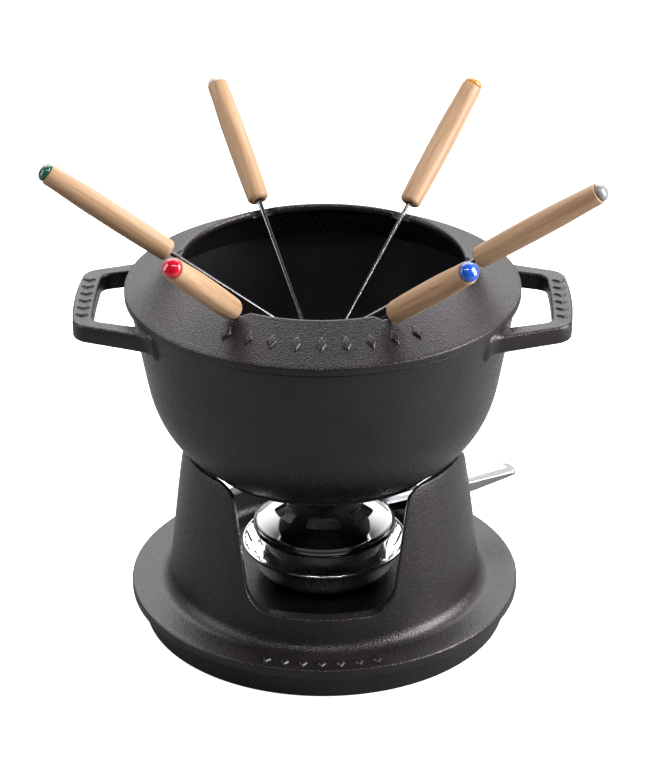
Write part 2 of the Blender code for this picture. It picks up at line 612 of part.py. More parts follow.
def build_fork(index):
    colour, _, _, _, _, start = FORKS[index]
    frame = fork_place(index)
    axis = empty(f"fork_axis_{index + 1}", (0, 0, 0))
    axis.matrix_world = frame
    tips = -reach_inside(frame)
    steel = material("fork_steel", (0.18, 0.18, 0.19), 0.3, 1.0)
    wood = material("fork_wood", (0.62, 0.42, 0.22), 0.55)
    along_x = Matrix.Rotation(math.pi / 2, 4, "Y")

    # shaft: a round rod whose inner end carries a two-pronged head
    sides = 10
    shaft = lathe(f"fork_shaft_{index + 1}", [
        (0.0, tips + HEAD_LENGTH - 0.004), (SHAFT_RADIUS, tips + HEAD_LENGTH - 0.004),
        (SHAFT_RADIUS, start + TANG_LENGTH), (0.0, start + TANG_LENGTH)], steel, sides)
    half = HEAD_WIDTH / 2
    slot = half - PRONG_WIDTH
    head = prism(f"fork_head_{index + 1}", [
        (tips, half - 0.0005), (tips + 0.005, half), (tips + HEAD_LENGTH - 0.004, half),
        (tips + HEAD_LENGTH, SHAFT_RADIUS * 0.9), (tips + HEAD_LENGTH, -SHAFT_RADIUS * 0.9),
        (tips + HEAD_LENGTH - 0.004, -half), (tips + 0.005, -half), (tips, -half + 0.0005),
        (tips + 0.004, -slot), (tips + HEAD_LENGTH - 0.010, -slot),
        (tips + HEAD_LENGTH - 0.0085, 0.0), (tips + HEAD_LENGTH - 0.010, slot),
        (tips + 0.004, slot)], -HEAD_THICKNESS / 2, HEAD_THICKNESS / 2, steel)
    combine(shaft, head, "UNION")

    bore = SHAFT_RADIUS + GAP
    bore_end = start + TANG_LENGTH + GAP
    end = start + FORK_HANDLE_LENGTH
    middle = start + FORK_HANDLE_LENGTH * 0.5
    handle = lathe(f"fork_handle_{index + 1}", [
        (0.0, bore_end), (bore, bore_end), (bore, start), (bore + 0.0006, start),
        (FORK_HANDLE_BASE_RADIUS - 0.0012, start + 0.0005),
        (FORK_HANDLE_BASE_RADIUS, start + 0.0022), (FORK_HANDLE_RADIUS, middle - 0.006),
        (FORK_HANDLE_RADIUS, middle + 0.006), (FORK_HANDLE_END_RADIUS, end - 0.0004),
        (FORK_HANDLE_END_RADIUS - 0.0004, end), (0.0, end)], wood, 14)

    paint = material(f"cap_{colour}", CAP_COLOURS[colour], 0.15)
    base = end + GAP
    dome = [(FORK_CAP_RADIUS * math.cos(a), base + FORK_CAP_LENGTH * (0.2 + 0.8 * math.sin(a)))
            for a in [math.radians(22.5 * k) for k in range(5)]]
    cap = lathe(f"fork_cap_{index + 1}", [(0.0, base), (FORK_CAP_RADIUS, base)] + dome[:-1]
                + [(0.0, base + FORK_CAP_LENGTH)], paint, 14)

    for piece in (shaft, handle, cap):
        piece.parent = axis
        piece.matrix_local = along_x
    head.parent = axis


def main():
    clear_scene()
    build_stand()
    build_pot()
    build_ring()
    build_burner()
    for index in range(len(FORKS)):
        build_fork(index)


main()
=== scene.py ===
import json
import math

import bmesh
import bpy
import numpy as np
from mathutils import Matrix, Vector


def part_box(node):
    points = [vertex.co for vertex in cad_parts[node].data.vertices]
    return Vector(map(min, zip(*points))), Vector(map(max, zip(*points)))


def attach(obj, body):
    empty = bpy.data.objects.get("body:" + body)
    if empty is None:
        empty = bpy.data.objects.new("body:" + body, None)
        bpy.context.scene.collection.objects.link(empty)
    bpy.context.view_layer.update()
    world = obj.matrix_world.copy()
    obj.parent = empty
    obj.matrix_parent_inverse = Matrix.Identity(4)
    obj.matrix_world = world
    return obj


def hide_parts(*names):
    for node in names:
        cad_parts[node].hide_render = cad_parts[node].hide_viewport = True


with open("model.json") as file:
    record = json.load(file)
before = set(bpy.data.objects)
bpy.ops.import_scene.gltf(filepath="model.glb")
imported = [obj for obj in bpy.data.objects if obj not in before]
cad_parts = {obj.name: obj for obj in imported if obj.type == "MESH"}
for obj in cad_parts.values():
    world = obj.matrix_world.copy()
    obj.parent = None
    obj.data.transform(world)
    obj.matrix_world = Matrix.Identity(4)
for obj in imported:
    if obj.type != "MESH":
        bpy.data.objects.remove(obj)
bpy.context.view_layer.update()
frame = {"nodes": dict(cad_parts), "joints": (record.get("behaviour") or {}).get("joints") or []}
print("frame loaded:", len(frame["nodes"]), "nodes")


def smooth01(value, low, high):
    t = np.clip((np.asarray(value, float) - low) / (high - low), 0, 1)
    return t * t * (3 - 2 * t)


def softMin(a, b, soft):  # the lower of two heights, with a rounded meeting
    h = np.clip(0.5 + 0.5 * (b - a) / soft, 0, 1)
    return b * (1 - h) + a * h - soft * h * (1 - h)


def arcPoints(centre, radius, start, end, steps):  # degrees, end included
    return [(centre[0] + radius * math.cos(math.radians(start + (end - start) * k / steps)),
             centre[1] + radius * math.sin(math.radians(start + (end - start) * k / steps)))
            for k in range(steps + 1)]


def meshObject(name, verts, faces, finishes, slots=None, sharpAngle=None):
    mesh = bpy.data.meshes.new(name)
    mesh.from_pydata([tuple(map(float, v)) for v in verts], [], faces)
    for finish in finishes:
        mesh.materials.append(finish)
    if slots is not None:
        mesh.polygons.foreach_set("material_index", slots)
    bm = bmesh.new()
    bm.from_mesh(mesh)
    bmesh.ops.remove_doubles(bm, verts=bm.verts, dist=2e-7)
    bmesh.ops.dissolve_degenerate(bm, dist=1e-8, edges=bm.edges)
    bmesh.ops.recalc_face_normals(bm, faces=bm.faces)
    bm.to_mesh(mesh)
    bm.free()
    mesh.shade_smooth()
    if sharpAngle:
        mesh.set_sharp_from_angle(angle=math.radians(sharpAngle))
    obj = bpy.data.objects.new(name, mesh)
    bpy.context.scene.collection.objects.link(obj)
    return obj


def gridMesh(rows, startPole=None, endPole=None, closeRows=False):
    count = len(rows[0])
    verts = np.concatenate(rows)
    faces = []
    total = len(rows)
    for j in range(total if closeRows else total - 1):
        a = j * count
        b = ((j + 1) % total) * count
        for i in range(count):
            k = (i + 1) % count
            faces.append((a + i, a + k, b + k, b + i))
    verts = list(map(tuple, verts))
    for pole, row in ((startPole, 0), (endPole, total - 1)):
        if pole is not None:
            verts.append(pole)
            for i in range(count):
                faces.append((row * count + i, row * count + (i + 1) % count, len(verts) - 1))
    return verts, faces


def turned(profile, azimuths, lift=0.0):  # rows of a turned shape from (radius, height) points
    cosines, sines = np.cos(azimuths), np.sin(azimuths)
    rows = []
    startPole = endPole = None
    for index, (r, z) in enumerate(profile):
        if r < 1e-7:
            pole = (0.0, 0.0, z + lift)
            if index == 0:
                startPole = pole
            else:
                endPole = pole
        else:
            rows.append(np.stack([r * cosines, r * sines, np.full(len(azimuths), z + lift)], 1))
    return rows, startPole, endPole


def evenAzimuths(count):
    return np.linspace(0, 2 * math.pi, count, endpoint=False)


def joinParts(parts):  # several (verts, faces) into one
    verts, faces = [], []
    for v, f in parts:
        base = len(verts)
        verts += list(v)
        faces += [tuple(base + i for i in face) for face in f]
    return verts, faces


def shellBetween(outer, inner, faces):  # two matching skins, with walls along every open edge
    count = len(outer)
    verts = list(map(tuple, outer)) + list(map(tuple, inner))
    walls = {}
    for face in faces:
        for a, b in zip(face, face[1:] + face[:1]):
            key = (min(a, b), max(a, b))
            walls[key] = None if key in walls else (a, b)
    allFaces = list(faces) + [tuple(count + i for i in reversed(face)) for face in faces]
    allFaces += [(b, a, count + a, count + b) for pair in walls.values() if pair for a, b in [pair]]
    return verts, allFaces


def finishPiece(piece, body, slotName, *nodes):
    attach(piece, body)
    if nodes:
        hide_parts(*nodes)
    return piece



class NodeTree:
    def __init__(self, name):
        self.material = bpy.data.materials.new(name)
        self.material.use_nodes = True
        self.tree = self.material.node_tree
        self.shader = self.tree.nodes["Principled BSDF"]
        self.column = -200

    def add(self, kind, **settings):
        node = self.tree.nodes.new(kind)
        self.column -= 60
        node.location = (self.column, self.column / 2)
        for key, value in settings.items():
            setattr(node, key, value)
        return node

    def link(self, source, target):
        self.tree.links.new(source, target)

    def coords(self, attribute=None, scale=None):
        if attribute:
            node = self.add("ShaderNodeAttribute", attribute_name=attribute)
            out = node.outputs["Vector"]
        else:
            out = self.add("ShaderNodeTexCoord").outputs["Object"]
        if scale:
            mapping = self.add("ShaderNodeMapping")
            mapping.inputs["Scale"].default_value = scale
            self.link(out, mapping.inputs["Vector"])
            out = mapping.outputs["Vector"]
        return out

    def noise(self, vector, scale, detail=3.0, roughness=0.5, distortion=0.0):
        node = self.add("ShaderNodeTexNoise")
        node.inputs["Scale"].default_value = scale
        node.inputs["Detail"].default_value = detail
        node.inputs["Roughness"].default_value = roughness
        node.inputs["Distortion"].default_value = distortion
        self.link(vector, node.inputs["Vector"])
        return node.outputs["Fac"]

    def ramp(self, value, stops):
        node = self.add("ShaderNodeValToRGB")
        ramp = node.color_ramp
        while len(ramp.elements) < len(stops):
            ramp.elements.new(0.5)
        for element, (place, colour) in zip(ramp.elements, stops):
            element.position = place
            element.color = (*colour, 1.0)
        self.link(value, node.inputs["Fac"])
        return node.outputs["Color"]

    def between(self, value, low, high, fromLow=0.0, fromHigh=1.0):
        node = self.add("ShaderNodeMapRange")
        node.inputs["From Min"].default_value = fromLow
        node.inputs["From Max"].default_value = fromHigh
        node.inputs["To Min"].default_value = low
        node.inputs["To Max"].default_value = high
        self.link(value, node.inputs["Value"])
        return node.outputs["Result"]

    def bump(self, height, strength, distance, under=None):
        node = self.add("ShaderNodeBump")
        node.inputs["Strength"].default_value = strength
        node.inputs["Distance"].default_value = distance
        self.link(height, node.inputs["Height"])
        if under is not None:
            self.link(under, node.inputs["Normal"])
        return node.outputs["Normal"]

    def put(self, **values):
        for key, value in values.items():
            socket = self.shader.inputs[key.replace("_", " ")]
            if isinstance(value, bpy.types.NodeSocket):
                self.link(value, socket)
            else:
                socket.default_value = value
        return self.material


ironLook = {"grain": 1250.0, "grainDepth": 0.00030, "grainStrength": 0.9, "dark": (0.0080, 0.0066, 0.0078),
            "light": (0.0150, 0.0122, 0.0144), "smooth": 0.20, "rough": 0.36, "specular": 0.45}


def castIronFinish():
    n = NodeTree("matteCastIron")
    place = n.coords()
    grain = n.noise(place, ironLook["grain"], 2.5, 0.55)
    cloud = n.noise(place, 38.0, 4.0, 0.55)
    colour = n.ramp(cloud, [(0.3, ironLook["dark"]), (0.72, ironLook["light"])])
    rough = n.between(grain, ironLook["smooth"], ironLook["rough"], 0.3, 0.7)
    peel = n.bump(n.noise(place, 260.0, 2.0, 0.5), 0.10, 0.0004)
    normal = n.bump(grain, ironLook["grainStrength"], ironLook["grainDepth"], peel)
    return n.put(Base_Color=colour, Roughness=rough, Specular_IOR_Level=ironLook["specular"],
                 Specular_Tint=(1.0, 0.94, 0.985, 1), Normal=normal)


def innerEnamelFinish():
    n = NodeTree("glossBlackEnamel")
    place = n.coords()
    wave = n.bump(n.noise(place, 90.0, 3.0, 0.5), 0.10, 0.0006)
    rough = n.between(n.noise(place, 25.0, 3.0), 0.20, 0.29, 0.35, 0.65)
    return n.put(Base_Color=(0.014, 0.013, 0.016, 1), Roughness=rough, Specular_IOR_Level=0.5, Normal=wave)


def chromeFinish():
    n = NodeTree("mirrorChrome")
    place = n.coords()
    rough = n.between(n.noise(place, 60.0, 4.0), 0.035, 0.085, 0.35, 0.7)
    tint = n.ramp(n.noise(place, 14.0, 2.0), [(0.3, (0.80, 0.81, 0.83)), (0.7, (0.87, 0.87, 0.88))])
    return n.put(Base_Color=tint, Metallic=1.0, Roughness=rough)


def plainSteelFinish(name, colour, rough):
    n = NodeTree(name)
    place = n.coords()
    scratch = n.noise(place, 700.0, 3.0, 0.6)
    tone = n.ramp(n.noise(place, 120.0, 3.0), [(0.3, tuple(c * 0.85 for c in colour)), (0.7, colour)])
    gloss = n.between(scratch, rough * 0.8, rough * 1.25, 0.3, 0.7)
    return n.put(Base_Color=tone, Metallic=1.0, Roughness=gloss,
                 Normal=n.bump(scratch, 0.02, 0.0001))


woodLook = {"pale": (0.53, 0.345, 0.21), "mid": (0.37, 0.21, 0.11), "dark": (0.22, 0.11, 0.05)}


def woodFinish():  # grain runs along the handle, read from the piece's own grainPlace attribute
    n = NodeTree("paleBeech")
    stretched = n.coords("grainPlace", (9.0, 260.0, 260.0))
    fibres = n.noise(stretched, 1.6, 5.0, 0.6, 0.35)
    pores = n.noise(n.coords("grainPlace", (70.0, 1500.0, 1500.0)), 1.0, 2.0, 0.5)
    bands = n.noise(n.coords("grainPlace", (6.0, 90.0, 90.0)), 1.0, 2.0, 0.5, 0.6)
    base = n.ramp(fibres, [(0.30, woodLook["mid"]), (0.62, woodLook["pale"])])
    flecks = n.ramp(pores, [(0.30, (0.50, 0.50, 0.50)), (0.44, (1.0, 1.0, 1.0))])
    mixFleck = n.add("ShaderNodeMix", data_type="RGBA", blend_type="MULTIPLY")
    mixFleck.inputs[0].default_value = 0.30
    n.link(base, mixFleck.inputs[6])
    n.link(flecks, mixFleck.inputs[7])
    mixBand = n.add("ShaderNodeMix", data_type="RGBA", blend_type="MIX")
    n.link(n.between(bands, 0.0, 0.38, 0.42, 0.68), mixBand.inputs[0])
    n.link(mixFleck.outputs[2], mixBand.inputs[6])
    mixBand.inputs[7].default_value = (*woodLook["dark"], 1)
    rough = n.between(pores, 0.55, 0.42, 0.3, 0.6)
    return n.put(Base_Color=mixBand.outputs[2], Roughness=rough, Specular_IOR_Level=0.35,
                 Normal=n.bump(fibres, 0.12, 0.0002))


def capFinish(colourName, colour):
    n = NodeTree("glossCap" + colourName.capitalize())
    wave = n.bump(n.noise(n.coords(), 220.0, 2.0), 0.05, 0.0003)
    tone = n.ramp(n.noise(n.coords(), 150.0, 2.0),
                  [(0.3, tuple(c * 0.9 for c in colour)), (0.7, colour)])
    return n.put(Base_Color=tone, Roughness=0.12, Specular_IOR_Level=0.55, Coat_Weight=0.6,
                 Coat_Roughness=0.04, Normal=wave)


def woolFinish():
    n = NodeTree("pressedWool")
    place = n.coords()
    fluff = n.noise(place, 500.0, 5.0, 0.7, 0.8)
    tone = n.ramp(fluff, [(0.25, (0.45, 0.43, 0.38)), (0.75, (0.78, 0.76, 0.70))])
    return n.put(Base_Color=tone, Roughness=0.95, Sheen_Weight=0.3, Normal=n.bump(fluff, 0.6, 0.0006))


def gauzeFinish():  # woven wire, from two crossed wave bumps
    n = NodeTree("wovenGauze")
    heights = []
    for direction in ("X", "Y"):
        wave = n.add("ShaderNodeTexWave", bands_direction=direction)
        wave.inputs["Scale"].default_value = 300.0
        n.link(n.coords(), wave.inputs["Vector"])
        heights.append(wave.outputs["Fac"])
    both = n.add("ShaderNodeMath", operation="MAXIMUM")
    n.link(heights[0], both.inputs[0])
    n.link(heights[1], both.inputs[1])
    tone = n.ramp(both.outputs[0], [(0.35, (0.05, 0.05, 0.05)), (0.75, (0.55, 0.55, 0.54))])
    return n.put(Base_Color=tone, Metallic=0.9, Roughness=0.4, Normal=n.bump(both.outputs[0], 0.8, 0.0004))


capColours = {"grey": (0.24, 0.23, 0.225), "orange": (0.74, 0.24, 0.035), "white": (0.82, 0.81, 0.78),
              "green": (0.006, 0.085, 0.045), "red": (0.66, 0.003, 0.025), "blue": (0.010, 0.088, 0.50)}
ironFinish = castIronFinish()
enamelFinish = innerEnamelFinish()
brightChrome = chromeFinish()
cupSteel = plainSteelFinish("plainSteel", (0.52, 0.52, 0.53), 0.30)
shaftSteel = plainSteelFinish("darkForkSteel", (0.22, 0.22, 0.23), 0.20)
leverSteel = plainSteelFinish("leverChrome", (0.36, 0.36, 0.38), 0.12)
beechFinish = woodFinish()
print("finishes made")

standSizes = {
    "turn": math.radians(-91.8), "windows": 3,
    "discRadius": 0.1088, "discTop": 0.0209, "lip": 0.0053, "skirtRadius": 0.1017, "skirtWall": 0.0042,
    "coneFoot": 0.0878, "coneTop": 0.0780, "coneHeight": 0.1060, "wall": 0.0078, "topDrop": 0.0044,
    "fillet": 0.0075, "sillHeight": 0.0385, "sillHalf": 0.0385, "mouthHalf": 0.0475,
    "sillCorner": 0.0140, "legCorner": 0.0090, "outerRound": 0.0012, "innerRound": 0.0013,
    "saucerRecess": 0.0305, "recessDepth": 0.0010,
}


def filletBetween(corner, before, after, radius, steps):
    corner, before, after = (np.array(p, float) for p in (corner, before, after))
    a = (before - corner) / np.linalg.norm(before - corner)
    b = (after - corner) / np.linalg.norm(after - corner)
    half = math.acos(np.clip(a @ b, -1, 1)) / 2
    centre = corner + (a + b) / np.linalg.norm(a + b) * radius / math.sin(half)
    start = corner + a * radius / math.tan(half) - centre
    end = corner + b * radius / math.tan(half) - centre
    points = []
    for k in range(steps + 1):
        t = k / steps
        mix = start * math.sin((1 - t) * (math.pi - 2 * half)) + end * math.sin(t * (math.pi - 2 * half))
        points.append(centre + mix / np.linalg.norm(mix) * radius)
    return points


def makeStand():
    s = standSizes

    def coneRadius(z):
        t = (np.asarray(z, float) - s["discTop"]) / (s["coneHeight"] - s["discTop"])
        return s["coneFoot"] + (s["coneTop"] - s["coneFoot"]) * t

    # the top edge of the cone over a half sector: sill, corner, window side, leg corner, leg top
    top = s["coneHeight"]
    legMiddle = math.pi / s["windows"]
    sill = (s["sillHalf"], s["sillHeight"])
    mouth = (s["mouthHalf"], top)
    low = filletBetween(sill, (0, s["sillHeight"]), mouth, s["sillCorner"], 10)
    high = filletBetween(mouth, sill, (0.08, top), s["legCorner"], 10)
    edge = [np.array([low[0][0] * k / 8, s["sillHeight"]]) for k in range(8)] + low
    edge += [low[-1] + (high[0] - low[-1]) * k / 16 for k in range(1, 16)] + high
    cornerCount = len(edge)
    endAz = math.asin(high[-1][0] / float(coneRadius(top)))
    for k in range(1, 11):
        az = endAz + (legMiddle - endAz) * k / 10
        edge.append(np.array([float(coneRadius(top)) * math.sin(az), top]))
    edge = np.array(edge)
    tangent = np.gradient(edge, axis=0)
    tangent /= np.linalg.norm(tangent, axis=1)[:, None]
    tangent[0] = tangent[-1] = (1, 0)
    normal = np.stack([tangent[:, 1], -tangent[:, 0]], 1)
    count = len(edge)
    index = np.arange(count)
    blend = smooth01(index, cornerCount - 1, count - 1)
    fall = smooth01(edge[:, 1], top - 0.013, top - 0.0005)
    # where each column stands at the foot of the cone
    natural = np.arcsin(np.clip(edge[:, 0] / coneRadius(edge[:, 1]), -1, 1))
    footAz = natural.copy()
    lowEnd = 8 + 4
    footAz[lowEnd:] = natural[lowEnd] + (legMiddle - natural[lowEnd]) * (
        (index[lowEnd:] - lowEnd) / (count - 1 - lowEnd)) ** 0.92

    def edgeRow(offset, depth):
        x = edge[:, 0] + normal[:, 0] * offset
        z = edge[:, 1] + normal[:, 1] * offset
        outer = coneRadius(edge[:, 1])
        azOuter = np.arcsin(np.clip(x / outer, -1, 1))
        azDeep = np.arcsin(np.clip(x / (outer - depth), -1, 1))
        az = azDeep + (azOuter - azDeep) * blend
        return az, coneRadius(z) - depth, z - s["topDrop"] * fall * depth / s["wall"]

    rows = []
    footZ = s["discTop"] + s["fillet"]
    q, p, wall = s["outerRound"], s["innerRound"], s["wall"]
    outerRows = [edgeRow(q * (1 - math.cos(a)), q * (1 - math.sin(a)))
                 for a in np.radians([90, 72, 54, 36, 18, 0])]
    innerRows = [edgeRow(0.0, wall * 0.5)]
    innerRows += [edgeRow(p * (1 - math.cos(a)), wall - p * (1 - math.sin(a)))
                  for a in np.radians([0, 22.5, 45, 67.5, 90])]

    def bandRows(start, endZ, inset, steps):
        az0, _, z0 = start
        made = []
        for k in range(steps + 1):
            t = k / steps
            z = z0 + (endZ - z0) * t
            az = az0 + (footAz - az0) * smooth01(t, 0, 1)
            made.append((az, coneRadius(z) - inset, z))
        return made

    flat = np.ones(count)

    def footRow(r, z):
        return footAz, r * flat, z * flat

    # from the recess in the middle, up the inside, over the edge, down the outside, and under
    rows += [footRow(r, z) for r, z in [
        (0.006, s["discTop"] - s["recessDepth"]),
        (s["saucerRecess"] - 0.0008, s["discTop"] - s["recessDepth"]),
        (s["saucerRecess"] - 0.0002, s["discTop"] - s["recessDepth"] * 0.6),
        (s["saucerRecess"] + 0.0004, s["discTop"] - 0.0001), (s["saucerRecess"] + 0.0012, s["discTop"])]]
    inFillet = 0.006
    inZ = s["discTop"] + inFillet
    inFoot = float(coneRadius(inZ)) - wall
    rows += [footRow(r, z) for r, z in
             [(inFoot - inFillet - 0.012, s["discTop"])]
             + arcPoints((inFoot - inFillet, inZ), inFillet, 270, 360, 7)]
    inner = bandRows(innerRows[-1], inZ + 0.0008, wall, 9)
    inner.reverse()
    rows += inner
    rows += list(reversed(innerRows[:-1]))
    rows += list(reversed(outerRows))
    rows += bandRows(outerRows[0], footZ + 0.0005, 0.0, 11)[1:]
    outFoot = float(coneRadius(footZ))
    rows += [footRow(r, z) for r, z in arcPoints((outFoot + s["fillet"], footZ), s["fillet"], 180, 270, 9)]
    lipZ = s["discTop"] - s["lip"]
    discR, skirtR = s["discRadius"], s["skirtRadius"]
    topRound, lowRound = 0.0012, 0.0009
    rows += [footRow(r, z) for r, z in
             [(discR - 0.006, s["discTop"])]
             + arcPoints((discR - topRound, s["discTop"] - topRound), topRound, 90, 0, 6)
             + arcPoints((discR - lowRound, lipZ + lowRound), lowRound, 0, -90, 5)
             + [(skirtR + 0.0032, lipZ)]
             + arcPoints((skirtR + 0.0022, lipZ - 0.0012), 0.0012, 90, 180, 4)
             + [(skirtR + 0.0004, lipZ * 0.45)]
             + arcPoints((skirtR - 0.0012, 0.0012), 0.0012, 0, -90, 5)
             + arcPoints((skirtR - s["skirtWall"] + 0.0008, 0.0008), 0.0008, -90, -180, 4)
             + [(skirtR - s["skirtWall"], lipZ - 0.004)]
             + arcPoints((skirtR - s["skirtWall"] - 0.003, lipZ - 0.003), 0.003, 0, 90, 5)
             + [(0.05, lipZ), (0.006, lipZ)]]

    # mirror the half sector, and repeat it round the axis
    fullRows = []
    for az, r, z in rows:
        azimuth = np.concatenate([-az[:0:-1], az[:-1]])
        radius = np.concatenate([r[:0:-1], r[:-1]])
        height = np.concatenate([z[:0:-1], z[:-1]])
        wholeAz = np.concatenate([azimuth + s["turn"] + 2 * legMiddle * k for k in range(s["windows"])])
        wholeR = np.tile(radius, s["windows"])
        fullRows.append(np.stack([wholeR * np.cos(wholeAz), wholeR * np.sin(wholeAz),
                                  np.tile(height, s["windows"])], 1))
    verts, faces = gridMesh(fullRows, (0, 0, s["discTop"] - s["recessDepth"]), (0, 0, lipZ))
    return meshObject("castStand", verts, faces, [ironFinish], sharpAngle=70)


stand = makeStand()
finishPiece(stand, "stand", "enamelled_iron", "stand")
print("stand made:", len(stand.data.polygons), "faces")

potSizes = {
    "turn": math.radians(-1.2), "base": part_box("pot")[0][2], "height": 0.0972, "rim": 0.1048,
    "footRadius": 0.0659, "bowlRadius": 0.0955, "bowlHeight": 0.0440,
    "pullRadius": 0.0890, "pullHeight": 0.0160,
    "wall": 0.0045, "floor": 0.0055,
    "reach": 0.0300, "topBelowRim": 0.0039, "thick": 0.0100, "bar": 0.0122, "tipHalf": 0.0352,
    "rootHalf": 0.0505, "openTipHalf": 0.0300, "openRootHalf": 0.0390, "bow": 0.0016, "corner": 0.0110,
    "openCorner": 0.0075, "edgeRound": 0.0017, "weldFillet": 0.0035,
}


def bowlPoint(t, inset=0.0, floor=0.0026):
    s = potSizes
    r = ((1 - t) ** 2 * (s["footRadius"] + 0.0006 - inset) + 2 * t * (1 - t) * (s["pullRadius"] - inset)
         + t ** 2 * (s["bowlRadius"] - inset))
    z = (1 - t) ** 2 * floor + 2 * t * (1 - t) * (s["pullHeight"] + inset) + t ** 2 * s["bowlHeight"]
    return r, z


def potWallRadius(z):  # outer radius on the flared wall, at a height above the foot
    s = potSizes
    t = (z - s["bowlHeight"]) / (s["height"] - s["bowlHeight"])
    return s["bowlRadius"] + (s["rim"] - s["bowlRadius"]) * t


def easedSide(points, reach):  # rounds the corner between the bowl's curve and the flared wall
    joined = np.array(points)
    for _ in range(reach):
        joined[1:-1] = (joined[:-2] + 2 * joined[1:-1] + joined[2:]) / 4
    return [tuple(p) for p in joined]


def makeBowl():
    s = potSizes
    h, rim, wall = s["height"], s["rim"], s["wall"]
    side = [bowlPoint(k / 22) for k in range(23)]
    side += [(potWallRadius(s["bowlHeight"] + (h - 0.003 - s["bowlHeight"]) * k / 14),
              s["bowlHeight"] + (h - 0.003 - s["bowlHeight"]) * k / 14) for k in range(1, 15)]
    side = easedSide(side, 4)
    outside = [(0.0, 0.0), (0.03, 0.0), (s["footRadius"] - 0.004, 0.0)]
    outside += arcPoints((s["footRadius"] - 0.0012, 0.0012), 0.0012, -90, 0, 5)
    outside += side
    outside += arcPoints((rim - 0.0012, h - 0.0012), 0.0012, 0, 90, 5)
    inner = [bowlPoint(k / 20, wall, s["floor"]) for k in range(1, 21)]
    inner += [(potWallRadius(z) - wall, z) for z in np.linspace(s["bowlHeight"] + 0.004, h - 0.003, 12)]
    inner = easedSide(inner, 4)
    floorArc = [(0.0, s["floor"]), (0.02, s["floor"]), (inner[0][0] - 0.010, s["floor"] + 0.0001)]
    inside = floorArc + inner + arcPoints((rim - wall + 0.0010, h - 0.0010), 0.0010, 180, 90, 4)
    outRows = turned(outside, evenAzimuths(208), s["base"])
    inRows = turned(list(reversed(inside)), evenAzimuths(208), s["base"])
    verts, faces = gridMesh(outRows[0] + inRows[0], outRows[1], inRows[2])
    radii = np.hypot([v[0] for v in verts], [v[1] for v in verts])
    enamelStart = len(outRows[0]) * 208
    slots = [1 if min(face) >= enamelStart - 208 and radii[list(face)].max() < rim - 0.0012 else 0
             for face in faces]
    slots = [slot if sum(i >= enamelStart for i in face) >= 3 else 0 for slot, face in zip(slots, faces)]
    return verts, faces, slots


def makeLoop():  # one handle, on the +X side
    s = potSizes
    tip = s["rim"] + s["reach"]
    rootX = s["bowlRadius"] - 0.002
    far = tip - s["bar"]

    def line(a, b, values):
        return [np.array(a) + (np.array(b) - np.array(a)) * v for v in values]

    def halfOutline(rootPoint, cornerPoint, radius, bow, armSteps):
        arm = np.array(rootPoint) - np.array(cornerPoint)
        start = np.array(cornerPoint) + arm * 1.34  # carried on into the wall
        across = (cornerPoint[0] + bow, 0.0)
        bend = filletBetween(cornerPoint, start, (cornerPoint[0], 0.0), radius, 12)
        points = line(start, bend[0], np.linspace(0, 1, armSteps, endpoint=False)) + bend
        tail = line(bend[-1], across, np.linspace(0, 1, 9)[1:])
        for p in tail:
            share = 1 - (p[1] / bend[-1][1]) ** 2
            p[0] = bend[-1][0] + bow * share
        return points + tail

    outer = halfOutline((rootX, s["rootHalf"]), (tip - s["bow"], s["tipHalf"]), s["corner"], s["bow"], 30)
    openRoot, openTip = (rootX - 0.001, s["openRootHalf"]), (far, s["openTipHalf"])
    inner = halfOutline(openRoot, openTip, s["openCorner"], 0.0006, 30)
    outer = outer + [np.array([p[0], -p[1]]) for p in reversed(outer[:-1])]
    inner = inner + [np.array([p[0], -p[1]]) for p in reversed(inner[:-1])]
    top = s["height"] - s["topBelowRim"]
    low = top - s["thick"]
    r = s["edgeRound"]
    # cross-section: (share across from inner to outer, inset from that side, height, way out)
    section = []
    for corner in range(4):
        outerSide = corner in (0, 3)
        upper = corner in (0, 1)
        start = (0, 90, 180, 270)[corner]
        for k in range(5):
            a = math.radians(start + 22.5 * k)
            section.append((outerSide, upper, math.cos(a), math.sin(a)))
        if corner == 0:
            section += [("mid", 0.66, 0, 1), ("mid", 0.33, 0, 1)]
        if corner == 2:
            section += [("mid", 0.33, 0, -1), ("mid", 0.66, 0, -1)]
    rows = []
    for o, i in zip(outer, inner):
        across = (o - i) / np.linalg.norm(o - i)
        row = []
        for side, share, c, sn in section:
            if side == "mid":
                flat = i + (o - i) * share
                z = top if sn > 0 else low
                away = np.array([0.0, 0.0, float(sn)])
            else:
                base = o - across * r if side else i + across * r
                flat = base + across * r * c
                z = (top - r + r * sn) if share else (low + r + r * sn)
                away = np.array([across[0] * c, across[1] * c, sn])
            gap = math.hypot(*flat) - potWallRadius(z)
            q = s["weldFillet"]
            d = min(max(gap, 0.0), q)
            swell = q - math.sqrt(max(q * q - (q - d) ** 2, 0.0))
            z = min(z + away[2] * swell, s["height"] - 0.0008)
            flat = flat + away[:2] * swell
            row.append((flat[0], flat[1], z))
        rows.append(np.array(row))
    count = len(rows[0])
    verts = [tuple(v) for v in np.concatenate(rows)]
    faces = []
    for j in range(len(rows) - 1):
        for k in range(count):
            m = (k + 1) % count
            faces.append((j * count + k, j * count + m, (j + 1) * count + m, (j + 1) * count + k))
    last = (len(rows) - 1) * count
    faces.append(tuple(range(count)))
    faces.append(tuple(last + k for k in reversed(range(count))))
    return verts, faces


